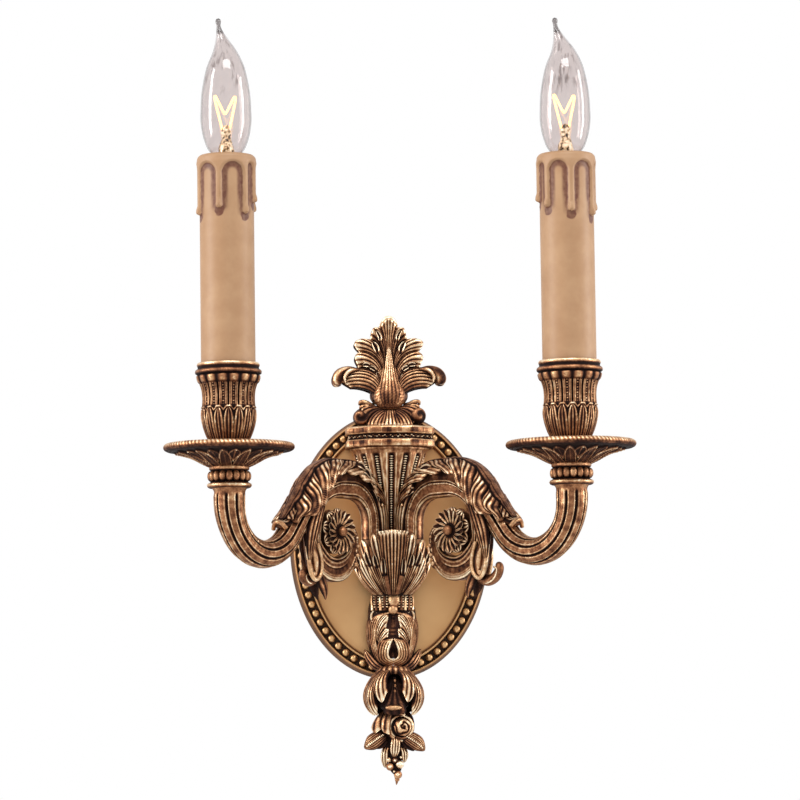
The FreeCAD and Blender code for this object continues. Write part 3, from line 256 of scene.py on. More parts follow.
def lobe(line, out, width, ribs=3, crown=0.45, depth=0.4, thick=0.5, root=0.4, peak=0.5, dish=0.0, rows=26,
         columns=22, sharp=2.2):
    """Leaf lobe along a line: its half width opens from root to peak and rounds off at the tip, and
    its face is a half ellipse with ribs, each the absolute sine across it, between narrow grooves."""
    line = smooth_line(line, rows)
    t = np.linspace(0, 1, rows)[:, None]
    along = unit(np.gradient(line, axis=0))
    across = unit(np.cross(along, np.broadcast_to(np.array(out, float), along.shape)))
    normal = np.cross(across, along)
    opening = root + (1 - root) * np.sin(pi / 2 * np.clip(t / peak, 0, 1))
    closing = np.sqrt(np.clip(1 - np.clip((t - peak) / (1 - peak), 0, 1) ** sharp, 0.0009, 1))
    half = width * opening if np.isscalar(width) else spline(width, t[:, 0] * (len(width) - 1))[:, None]
    half = half * closing
    u = np.linspace(-1, 1, columns)[None, :]
    dome = np.sqrt(1 - u * u)
    ridge = np.abs(np.sin(pi * ribs * (u + 1) / 2)) ** 0.7
    front = half * (crown * dome - dish * (1 - u * u)) + depth * ridge * dome * closing
    back = -thick * half * dome
    rise = np.hstack([front, back[:, -2:0:-1]])
    spread = np.hstack([half * u, half * u[:, -2:0:-1]])
    grid = line[:, None] + across[:, None] * spread[..., None] + normal[:, None] * rise[..., None]
    lit = 0.55 + 0.45 * rising(t, 0, 0.5)
    face = (0.08 + 0.92 * ridge ** 1.6) * lit * (0.35 + 0.65 * rising(dome, 0.2, 0.7))
    face = np.where(dish > 0.3, 0.05 + 0.95 * rising(np.abs(u), 0.35, 0.7) * rising(t, 0.0, 0.3), face)
    return grid, np.hstack([face, 0.45 + 0 * back[:, -2:0:-1]])


def by_threes(rows, place=lambda x, out, up: (x, out, up)):
    """Stations for a fan: each row of nine numbers is three places."""
    return [[place(*row[k:k + 3]) for k in (0, 3, 6)] for row in rows]


def mirrored(side, place=lambda x, out, up: (x, out, up)):
    """The same placing of a point with its first number, an angle or a distance across, times side."""
    return lambda x, out, up: place(side * x, out, up)


def fan(stations, ribs, out, swell=1.0, depth=0.5, thick=1.2, curl=0.0, rows=26, fine=7, even=0.4):
    """Leaf whose ribs spring from a root line.  A station is (root, bend, edge), a rib is its quadratic
    curve, and stations are notches and tips in turn.  Ribs are the absolute sine of the place between
    two notches, and each lobe swells as a half ellipse from notch to notch."""
    v = np.append(np.concatenate([2 * k + np.linspace(0, 2, fine * n, endpoint=False)
                                  for k, n in enumerate(ribs)]), 2 * len(ribs))
    root, bend, edge = np.moveaxis(spline(stations, v), 1, 0)[:, :, None]
    u = np.linspace(0, 1, rows)[:, None]
    sheet = (1 - u) ** 2 * root + 2 * u * (1 - u) * bend + u ** 2 * edge
    normal = unit(np.cross(np.gradient(sheet, axis=0), np.gradient(sheet, axis=1)))
    facing = (sheet - [0, out, 0]) * [1, 1, 0] if np.isscalar(out) else np.array(out, float)
    normal = normal * np.sign((normal * facing).sum())
    share = (v / 2 % 1)[:, None]
    n = np.array(ribs)[np.minimum((v / 2).astype(int), len(ribs) - 1)][:, None]
    wave = np.abs(np.sin(pi * n * share)) ** 0.7
    crown = np.sqrt(np.clip(np.sin(pi * share), 0, 1))
    u = u.T
    cap = np.sqrt(1 - u ** 6)
    front = cap * (swell * crown * (0.3 + 0.7 * u) + depth * wave * (even + (1 - even) * u)) + curl * u ** 3
    back = curl * u ** 3 - thick * cap
    rise = np.hstack([front, back[:, ::-1] + 0 * front])
    sheets = np.concatenate([sheet, sheet[:, ::-1]], 1)
    normals = np.concatenate([normal, normal[:, ::-1]], 1)
    grid = sheets + normals * rise[..., None]
    face = np.clip((0.06 + 0.88 * wave ** 1.5) * (0.35 + 0.65 * crown) * (0.7 + 0.3 * u)
                   + 0.4 * rising(u, 0.86, 0.98), 0, 1)
    return grid, np.hstack([face, 0.2 + 0 * face]), False, True


def tube(line, radius, across, n=40, around=8, flat=1.0):
    """Round wire along a line; radius may vary along it, and flat squeezes it in the other way."""
    line = smooth_line(line, n)
    t = np.linspace(0, 1, n)[:, None]
    along = unit(np.gradient(line, axis=0))
    side = unit(np.cross(along, np.broadcast_to(np.array(across, float), along.shape)))
    other = np.cross(side, along)
    a = circle(around)
    r = radius(t) if callable(radius) else radius + 0 * t
    return (line[:, None] + side[:, None] * (r * np.cos(a))[..., None]
            + other[:, None] * (flat * r * np.sin(a))[..., None])


def dome(centre, axis, profile, columns, shape=None):
    """Rows of (radius, height) turned about any axis; shape(angle, radius, height) adds height and
    gives relief."""
    axis = unit(np.array(axis, float))
    first = unit(np.cross(axis, [0.13, 0.21, 1.0] if abs(axis[2]) < 0.9 else [1.0, 0.1, 0.0]))
    second = np.cross(axis, first)
    a = circle(columns)
    r, h = profile[:, :1] + 0 * a, profile[:, 1:2] + 0 * a
    relief = 0.75
    if shape:
        lift, relief = shape(a, r, h)
        h = h + lift
    grid = (np.array(centre, float) + first * (r * np.cos(a))[..., None]
            + second * (r * np.sin(a))[..., None] + axis * h[..., None])
    return grid, relief


def ball(centre, radii, columns=12, rows=7):
    """Ellipsoid: latitude rows of cosine radius and sine height."""
    b = np.linspace(-pi / 2, pi / 2, rows + 2)[1:-1, None]
    a = circle(columns)
    body = np.stack([np.cos(b) * np.cos(a), np.cos(b) * np.sin(a), np.sin(b) + 0 * a], -1)
    return np.array(centre, float) + body * np.array(radii, float)


def volute(centre, axis, radius, height, turns=1.6, spin=1, columns=36):
    """Rolled leaf end: a dome whose height carries a spiral wave, its phase being turns times the
    radius less the angle."""
    edge = np.linspace(0.03, 1, 18)
    face = np.stack([radius * edge, height * np.sqrt(1 - 0.75 * edge ** 2)], 1)
    profile = np.vstack([face, [[radius * 0.98, -height * 0.1], [radius * 0.8, -height * 0.7]]])

    def wave(a, r, h):
        swirl = np.cos(2 * pi * turns * r / radius - spin * a)
        fade = rising(r / radius, 0.05, 0.3) * (h > 0)
        return height * 0.16 * swirl * fade, 0.55 + 0.42 * swirl * fade
    return dome(centre, axis, profile, columns, wave)


# ---- finishes -----------------------------------------------------------------------------------
class Value:
    """A socket in a material; arithmetic on it adds Math nodes."""

    def __init__(self, finish, socket):
        self.finish, self.socket = finish, socket

    def math(self, operation, *others):
        return self.finish.node("ShaderNodeMath", {"operation": operation}, dict(enumerate((self,) + others)))

    def __add__(self, other):
        return self.math("ADD", other)

    __radd__ = __add__

    def __sub__(self, other):
        return self.math("SUBTRACT", other)

    def __rsub__(self, other):
        return self.finish.node("ShaderNodeMath", {"operation": "SUBTRACT"}, {0: other, 1: self})

    def __mul__(self, other):
        return self.math("MULTIPLY", other)

    __rmul__ = __mul__

    def between(self, low, high):
        """0 below low, 1 above high, an S between them."""
        return self.finish.node("ShaderNodeMapRange", {"interpolation_type": "SMOOTHSTEP"},
                                {"Value": self, "From Min": low, "From Max": high})


class Finish:
    """A material; every node in it but the shader comes from node()."""

    def __init__(self, name, **constants):
        self.material = bpy.data.materials.new(name)
        self.material.use_nodes = True
        self.tree = self.material.node_tree
        self.shader = self.tree.nodes["Principled BSDF"]
        for socket, value in constants.items():
            self.shader.inputs[socket.replace("_", " ")].default_value = value

    def node(self, kind, settings, sockets, output=0):
        node = self.tree.nodes.new(kind)
        for key, value in settings.items():
            if key == "stops":
                for k, (place, colour) in enumerate(value):
                    stop = node.color_ramp.elements[k] if k < 2 else node.color_ramp.elements.new(place)
                    stop.position, stop.color = place, (*colour, 1)
            else:
                setattr(node, key, value)
        for key, value in sockets.items():
            self.put(node.inputs[key], value)
        return Value(self, node.outputs[output])

    def put(self, socket, value):
        if isinstance(value, Value):
            self.tree.links.new(value.socket, socket)
        elif socket.type == "RGBA":
            socket.default_value = (*value, 1)
        else:
            socket.default_value = value

    def to(self, **sockets):
        for name, value in sockets.items():
            self.put(self.shader.inputs[name.replace("_", " ")], value)
        return self

    def noise(self, scale, detail=3.0, rough=0.55, stretch=None):
        where = self.node("ShaderNodeTexCoord", {}, {}, "Object")
        if stretch:
            where = self.node("ShaderNodeMapping", {}, {"Vector": where, "Scale": stretch})
        return self.node("ShaderNodeTexNoise", {}, {"Vector": where, "Scale": scale, "Detail": detail,
                                                    "Roughness": rough})

    def relief(self):
        return self.node("ShaderNodeAttribute", {"attribute_name": "relief"}, {}, "Fac")

    def open_air(self, distance, samples=6):
        """1 in the open, 0 deep in a crevice of the same piece."""
        return self.node("ShaderNodeAmbientOcclusion", {"samples": samples, "only_local": True},
                         {"Distance": distance}, "AO")

    def mix(self, share, low, high):
        return self.node("ShaderNodeMix", {"data_type": "RGBA"}, {0: share, 6: low, 7: high}, 2)

    def ramp(self, share, *stops):
        return self.node("ShaderNodeValToRGB", {"stops": stops}, {0: share})

    def bump(self, height, strength, distance):
        return self.node("ShaderNodeBump", {}, {"Height": height, "Strength": strength, "Distance": distance})


def cast_brass(name, tone=0.0):
    """Antique brass: black-brown in the hollows, worn to pale gold on the ridges, painted shade in crevices.
    """
    f = Finish(name, Specular_IOR_Level=0.08)
    patches, grain, fleck = f.noise(170, 4), f.noise(1000, 3), f.noise(420, 2, 0.4)
    # open_air darkens a piece's creases: partly the patina in the hollows, partly painted shade
    open_air = f.open_air(0.0035)
    # relief also brings in the painted highlights drawn on some pieces
    wear_and_painted_light = f.relief() * 1.05 + open_air * 0.52 + (patches - 0.5) * 0.75 + (grain - 0.5) * 0.35 - (0.63 - tone)
    share = wear_and_painted_light.between(-0.15, 1.0) + fleck.between(0.62, 0.80) * 0.28 * f.relief().between(0.35, 0.8)
    colour = f.ramp(share, (0.0, (0.010, 0.004, 0.003)), (1.0, (0.98, 0.82, 0.58)),
                    (0.24, (0.042, 0.015, 0.010)), (0.46, (0.20, 0.080, 0.038)),
                    (0.68, (0.41, 0.192, 0.092)), (0.86, (0.70, 0.43, 0.225)))
    return f.to(Base_Color=colour, Metallic=0.15 + 0.75 * share.between(0.1, 0.6),
                Roughness=0.62 - 0.33 * share,
                Normal=f.bump(grain + patches * 0.8 + fleck * 0.5, 0.35, 0.0007)).material


def plain_brass(name, dark=(0.05, 0.026, 0.010), light=(0.70, 0.50, 0.24)):
    """Machined brass parts between the castings, with painted shade where they are crowded."""
    f = Finish(name)
    grain = f.noise(700, 4)
    # the occlusion term darkens where the part is crowded: painted shade
    share = f.open_air(0.006) * 0.6 + grain * 0.5
    colour = f.ramp(share.between(0.2, 1.1), (0.0, dark), (1.0, light))
    return f.to(Base_Color=colour, Metallic=0.9 + 0.1 * grain, Roughness=0.5 - 0.2 * grain,
                Normal=f.bump(grain, 0.15, 0.0004)).material


def satin_brass(name):
    """The plate: smooth satin field, darker where the border is sunk: partly patina, partly painted shade."""
    f = Finish(name, Specular_IOR_Level=0.15)
    cloud, grain = f.noise(28, 3), f.noise(1500, 2, stretch=(1.0, 1.0, 0.12))
    # relief and open_air darken the sunk border and the side wall: partly patina, partly painted shade
    share = f.relief() * 0.8 + f.open_air(0.005) * 0.5 + cloud * 0.3 - 0.5
    colour = f.ramp(share.between(-0.1, 0.95), (0.0, (0.02, 0.010, 0.006)), (1.0, (0.69, 0.42, 0.20)),
                    (0.4, (0.24, 0.11, 0.05)), (0.8, (0.51, 0.268, 0.112)))
    return f.to(Base_Color=colour, Metallic=0.95 * share.between(0.2, 0.6),
                Roughness=0.7 - 0.3 * share.between(0.1, 0.5), Normal=f.bump(grain, 0.08, 0.0003)).material


def candle_tan(name):
    """Resin candle: warm tan with brown stain round the wax drips."""
    f = Finish(name, Specular_IOR_Level=0.5, Coat_Weight=0.14, Coat_Roughness=0.4)
    cloud, fleck = f.noise(60, 4), f.noise(420, 3)
    stain = f.relief().between(0.02, 0.72)
    body = f.mix(cloud.between(0.3, 0.75), (0.42, 0.228, 0.110), (0.50, 0.292, 0.152))
    colour = f.mix(stain * (0.5 + 0.8 * fleck), body, (0.13, 0.034, 0.013))
    return f.to(Base_Color=colour, Roughness=0.42 + 0.2 * fleck,
                Normal=f.bump(cloud + fleck * 0.3, 0.15, 0.0006)).material


def clear_glass(name):
    """Clear envelope with painted dark reflections: edge on, at its drawn tip and in streaks above the wire.
    """
    f = Finish(name, Transmission_Weight=1.0, IOR=1.42)
    haze = f.noise(90, 3)
    # facing darkens the glass seen edge on: a painted reflection
    facing = f.node("ShaderNodeLayerWeight", {}, {"Blend": 0.5}, "Facing")
    tint = f.mix(haze, (0.76, 0.70, 0.69), (0.86, 0.81, 0.80))
    # streak, and the relief mask below, paint dark reflections above the wire and on the drawn tip
    streak = f.noise(330, 3, 0.6, (1.0, 1.0, 0.16)).between(0.55, 0.68) * f.relief().between(0.1, 0.5)
    colour = f.mix(facing.between(0.58, 0.92), f.mix(0.8 * streak, tint, (0.30, 0.25, 0.24)),
                   (0.05, 0.04, 0.04))
    return f.to(Base_Color=f.mix(0.75 * f.relief().between(0.65, 0.95), colour, (0.12, 0.10, 0.10)),
                Roughness=0.01 + 0.015 * haze).material


def stem_glass(name):
    """Glass stem, dark and gold where the wires are sealed in, with painted glints that also glow faintly."""
    f = Finish(name, Emission_Strength=0.5)
    fleck, coarse = f.noise(520, 3, 0.6), f.noise(260, 2)
    share = (fleck + coarse) * 0.5
    colour = f.ramp(share, (0.40, (0.05, 0.03, 0.015)), (0.58, (1.0, 0.95, 0.80)), (0.47, (0.85, 0.56, 0.26)))
    return f.to(Base_Color=colour, Metallic=0.5 * share.between(0.4, 0.6), Roughness=0.15 + 0.3 * coarse,
                # the emission is a painted glow on the bright glints
                Emission_Color=f.mix(share.between(0.44, 0.56), (0.0, 0.0, 0.0), (0.9, 0.7, 0.4)),
                Normal=f.bump(fleck, 0.5, 0.0008)).material


def glowing_wire(name):
    """Lit filament, orange to yellow along its length."""
    f = Finish(name, Emission_Strength=6.0)
    beat = f.noise(800, 2)
    return f.to(Base_Color=f.mix(beat, (0.3, 0.16, 0.06), (0.5, 0.3, 0.12)), Roughness=0.4 + 0.1 * beat,
                Emission_Color=f.mix(beat, (1.0, 0.42, 0.07), (1.0, 0.62, 0.22))).material


def dull_metal(name, dark, light, rough):
    """Plated steel or brass with a faint grain."""
    f = Finish(name, Metallic=1.0)
    grain, cloud = f.noise(1100, 3, stretch=(1.0, 1.0, 0.2)), f.noise(120, 4)
    return f.to(Base_Color=f.mix(cloud * 0.7 + grain * 0.3, dark, light), Roughness=rough + 0.15 * cloud,
                Normal=f.bump(grain, 0.12, 0.0004)).material


def moulded_plastic(name, dark, light, rough):
    """Plastic with a slight mottle."""
    f = Finish(name)
    grain, cloud = f.noise(1600, 2), f.noise(90, 3)
    return f.to(Base_Color=f.mix(cloud, dark, light), Roughness=rough + 0.12 * grain,
                Normal=f.bump(grain, 0.1, 0.0003)).material


ANTIQUE = cast_brass("antique_brass_cast")
RUBBED = cast_brass("antique_brass_rubbed", 0.12)
MACHINED = plain_brass("brass_machined")
BRONZED = plain_brass("brass_bronzed_heads", (0.03, 0.012, 0.006), (0.42, 0.20, 0.10))
SATIN = satin_brass("satin_brass_plate")
TAN = candle_tan("candle_resin")
GLASS = clear_glass("bulb_glass_clear")
STEM = stem_glass("stem_glass")
GLOW = glowing_wire("filament_glow")
ZINC = dull_metal("zinc_plated_steel", (0.42, 0.43, 0.44), (0.62, 0.63, 0.63), 0.32)
NICKEL = dull_metal("nickel_plate", (0.52, 0.50, 0.47), (0.70, 0.68, 0.64), 0.22)
BAKELITE = moulded_plastic("socket_phenolic", (0.018, 0.014, 0.012), (0.045, 0.034, 0.026), 0.38)
VINYL = moulded_plastic("lead_vinyl", (0.62, 0.60, 0.55), (0.78, 0.76, 0.70), 0.45)
NUT_PLASTIC = moulded_plastic("connector_plastic", (0.75, 0.26, 0.04), (0.88, 0.34, 0.07), 0.42)


# ---- backplate ----------------------------------------------------------------------------------
def oval_ring(steps, columns):
    """Rows of (inset, out) carried round the plate's oval, whose half axes shrink by the inset."""
    a = circle(columns)
    inset, out = steps[:, :1], steps[:, 1:2]
    return np.stack([(PLATE_HALF[0] - inset) * np.cos(a), out + 0 * a, (PLATE_HALF[1] - inset) * np.sin(a)],
                    -1)


def make_backplate():
    """Hollow oval plate: side wall, rounded rim, a groove of beads between two lips, and a flat field.
    Each step is (inset from the edge, out, relief)."""
    plate = Casting()
    # the low relief on the side wall and outer flange (first rows out) is a painted shadow
    steps = np.array([(3.0, 0.0, 0.1), (0.3, 0.0, 0.1), (0.0, 0.4, 0.1), (0.0, 6.5, 0.0), (0.5, 9.4, 0.05),
                      (1.3, 12.6, 0.12), (2.1, 14.2, 0.5), (2.6, 14.5, 0.85), (3.0, 14.1, 0.6),
                      (3.2, 12.8, 0.25), (3.5, 12.2, 0.12), (8.5, 12.2, 0.12), (8.8, 12.8, 0.3),
                      (9.1, 14.0, 0.8), (9.6, 14.4, 1.0), (10.2, 14.1, 0.95), (10.6, 13.0, 0.5),
                      (11.0, 12.15, 0.3), (12.0, 12.0, 0.75), (22.0, 12.0, 0.8), (45.0, 12.0, 0.8),
                      (60.5, 12.0, 0.8), (60.5, 9.5, 0.5), (30.0, 9.5, 0.5), (3.2, 9.5, 0.4),
                      (3.0, 9.2, 0.4)])
    dense = np.vstack([steps[i] + (steps[i + 1] - steps[i]) * k / 3 for i in range(len(steps) - 1)
                       for k in range(3)])
    plate.add(oval_ring(dense[:, :2], 240), dense[:, 2:3], loop=True)
    wide, high = PLATE_HALF[0] - 6.0, PLATE_HALF[1] - 6.0
    a = np.linspace(0, 2 * pi, 1441)
    places = evenly(np.stack([wide * np.cos(a), high * np.sin(a)], 1), PLATE_BEADS + 1, 2)[:-1]
    bead = np.array([(0.4, 2.55), (1.1, 2.35), (1.8, 1.9), (2.35, 1.15), (2.6, 0.3), (2.6, -0.6)])

    # each bead is brighter towards its top: partly rubbed metal, partly a painted highlight
    def rubbed_and_highlit(a, r, h):
        return 0, 0.12 + 0.88 * rising(h, 0.4, 2.2)
    for x, z in places:
        plate.add(*dome((x, 12.1, z), (0, 1, 0), bead, 14, rubbed_and_highlit))
    plate.settle("backplate_cast", ["backplate"], SATIN, "satin_brass")


# ---- central body -------------------------------------------------------------------------------
def make_urn():
    """Cone with seven grooves, each holding a ladder of pearls, between smooth swollen lands."""
    urn = Casting()
    rows = np.array([(0.5, 2.0), (7.2, 2.0), (7.4, 4.0), (9.2, 12.0), (11.8, 22.0), (14.6, 32.0),
                     (17.6, 42.0), (20.6, 51.0), (22.3, 55.6), (22.5, 56.2), (23.6, 56.6), (23.9, 57.3),
                     (23.7, 58.0), (0.5, 58.0)])
    profile = np.vstack([rows[:1], smooth_line(rows[1:9], 60, 2), rows[9:]])
    spread = radians(25.5)

    def grooves(psi, r, z):
        p = wrapped(psi / spread) * (np.abs(psi) < 3.5 * spread)
        width = (1.0 + 0.65 * z / 55) / np.maximum(r * spread, 0.1)
        in_body = rising(z, 2.6, 4.5) * (1 - rising(z, 53.5, 54.6)) * (np.abs(psi) < 3.5 * spread)
        groove = bump(p / (1.9 * width)) * in_body
        lip = bump((np.abs(p) - 1.75 * width) / (0.5 * width)) * in_body
        land = (1 - groove) * bump(p - np.sign(p) * 0.5)
        # streak: vertical painted highlights on the smooth lands
        streak = 0.5 + 0.5 * np.sin(31 * psi + 3 * np.sin(0.31 * z)) * np.sin(12.7 * psi + 1.0)
        relief = (0.39 + 0.22 * streak + 0.32 * lip) * (1 - groove) + 0.02
        return -1.35 * groove + 0.35 * land * in_body + 0.25 * lip, 0 * z, np.clip(relief, 0, 1)
    urn.add(*lathe(profile, 300, grooves, out=BODY_OUT))
    for k in range(-3, 4):
        z = np.arange(4.6, 53.6, 1.4)
        r = np.interp(z, profile[1:-4, 1], profile[1:-4, 0]) - 0.8
        for radius, height in zip(r, z):
            out = BODY_OUT + radius * cos(k * spread)
            if out > FIELD_OUT + 0.5:
                size = 0.6 + 0.6 * height / 55
                urn.add(ball((radius * sin(k * spread), out, height), (size, 0.8, 0.46), 8, 5), 0.95)
    urn.settle("urn_cast", ["urn"], RUBBED)


def make_cap():
    """Two faceted bands: a plan outline of flats, carried up a stepped profile, with a dotted groove."""
    cap = Casting()
    corners = np.array([(-26.6, 12.0), (-26.6, 32.4), (-13.0, 46.0), (13.0, 46.0), (26.6, 32.4),
                        (26.6, 12.0)])
    middle = np.array([0.0, 26.0])
    plan = bent_line(corners, [2.5, 2.5, 2.5, 2.5], 420)
    plan = np.vstack([plan, np.stack([np.linspace(26.6, -26.6, 40)[1:-1], np.full(38, 12.0)], 1)])
    steps = np.array([(20, 58.0, 0.3), (1.6, 58.0, 0.3), (0.5, 58.2, 0.5), (0, 58.9, 0.7), (0, 60.4, 0.45),
                      (0.1, 61.8, 0.45), (0.5, 62.4, 0.9), (1.3, 62.8, 0.4), (2.2, 63.1, 0.0),
                      (1.9, 64.3, 0.2), (2.2, 65.5, 0.0), (1.3, 65.9, 0.4), (0.5, 66.2, 0.8),
                      (0, 66.8, 0.45), (0, 69.2, 0.45), (0.3, 69.9, 0.8), (0.9, 70.5, 0.7),
                      (1.8, 70.8, 0.5), (20, 70.8, 0.2)])
    away = plan - middle
    x = plan[:, 0]
    facet = np.sign(np.sin(x * 0.83 + 1.1 * np.sin(x * 0.31))) * 0.08 + np.sign(np.sin(x * 0.37 - 1.0)) * 0.10
    on_band = ((steps[:, 0] < 0.3) * 1.0)[:, None]
    inset = steps[:, :1] - 0.14 * (facet > 0) * on_band
    shrink = 1 - inset[..., None] / np.linalg.norm(away, axis=1)[None, :, None]
    flat = middle + away[None] * np.maximum(shrink, 0.02)
    grid = np.dstack([flat, steps[:, 1][:, None] + np.zeros((1, len(plan)))])
    cap.add(grid, np.clip(steps[:, 2:3] - 0.05 + facet * on_band, 0, 1))
    for k, dot in enumerate(evenly(plan[:420], 84, 2)):
        inward = unit(dot - middle) * 1.8
        cap.add(ball((*(dot - inward), 64.3 + 0.5 * sin(2.2 * k)), (0.5, 0.6, 0.45), 8, 5),
                0.7 + 0.25 * sin(1.7 * k))
    cap.settle("urn_cap_cast", ["urn_cap"], RUBBED)


def make_collar():
    """Ribbed skirt under the crest, between a swirl ball and three rolled leaf ends on each side."""
    neck = Casting()
    profile = smooth_line([(15.4, 70.8), (14.6, 71.8), (11.6, 75.0), (9.4, 79.4), (8.8, 84.2)], 34, 2)
    profile = np.vstack([[0.5, 70.8], profile, [0.5, 84.3]])

    def ribs(psi, r, z):
        wave = np.abs(np.sin(psi * 14)) ** 0.7
        return 0.75 * wave * rising(-z, -84, -76), 0 * z, 0.08 + 0.55 * wave + 0.4 * bump((z - 71.6) / 1.0)
    neck.add(*lathe(profile, 280, ribs, out=BODY_OUT))
    for side in (-1, 1):
        for face in (1, -1):
            neck.add(*volute((side * 16.6, 23 + face * 5.2, 77.2), (side * 0.45, face, 0.1), 4.9, 3.9, 0.8,
                             side * face), share=0.62)
        neck.add(tube([(side * 16.6, 18, 77.2), (side * 16.6, 28, 77.2)], 4.6, (0, 0, 1), 8, 24), 0.2)
        leaf_ends = ((9.5, 83.2, 18.2, 86.2, 1.3), (9.2, 81.6, 17.6, 83.4, 1.5), (9.4, 79.2, 15.2, 81.2, 1.2))
        for k, (x0, z0, x1, z1, r) in enumerate(leaf_ends):
            neck.add(tube([(side * x0, 27, z0), (side * (x0 + x1) / 2, 28.6, z0 * 0.4 + z1 * 0.6 + 0.7),
                           (side * (x1 - 0.8), 28.4 - k, z1), (side * x1, 26.0, z1 - 1.4)],
                          lambda t: r * (0.65 + 0.35 * np.sin(pi * t)), (0, 1, 0), 24, 12), 0.75)
        neck.add(tube([(side * 9, 20, 83.5), (side * 14, 20, 84.5), (side * 17, 20, 84)], 2.4, (0, 1, 0),
                      16, 16), 0.15)
        skirt = by_threes([(1.0, 31.0, 79.5, 5, 33.4, 76, 5.6, 36.0, 71.6),
                           (2.5, 30.8, 80.5, 9.0, 33.5, 77.5, 10.0, 34.5, 71.2),
                           (4.5, 30.0, 81.4, 11.5, 32.0, 80, 14.0, 31.0, 72.4),
                           (6.0, 29.0, 82.4, 13.0, 31, 83.5, 17.2, 30.4, 79.6),
                           (7.0, 27.6, 83.2, 12.4, 29, 85.4, 16.0, 28.0, 84.4)], mirrored(side))
        neck.fan(skirt, [4, 4], (side * 0.3, 1, 0.2), swell=0.8, depth=0.5, thick=1.6, share=0.8)
    apron = by_threes([(-3.2, 31.4, 80.6, -4.2, 33.6, 76, -6.4, 35.6, 71.4),
                       (0, 31.6, 80.6, 0, 34.6, 75.6, 0, 36.8, 71.0),
                       (3.2, 31.4, 80.6, 4.2, 33.6, 76, 6.4, 35.6, 71.4)])
    neck.fan(apron, [5], (0, 1, 0.2), swell=0.7, thick=1.6)
    for k in range(-6, 7):
        neck.add(ball((2.2 * k, 35.8 - 0.075 * k * k, 71.3), (0.8, 0.8, 0.6), 10, 6), 0.95)
    neck.settle("finial_collar_cast", ["finial_collar"])


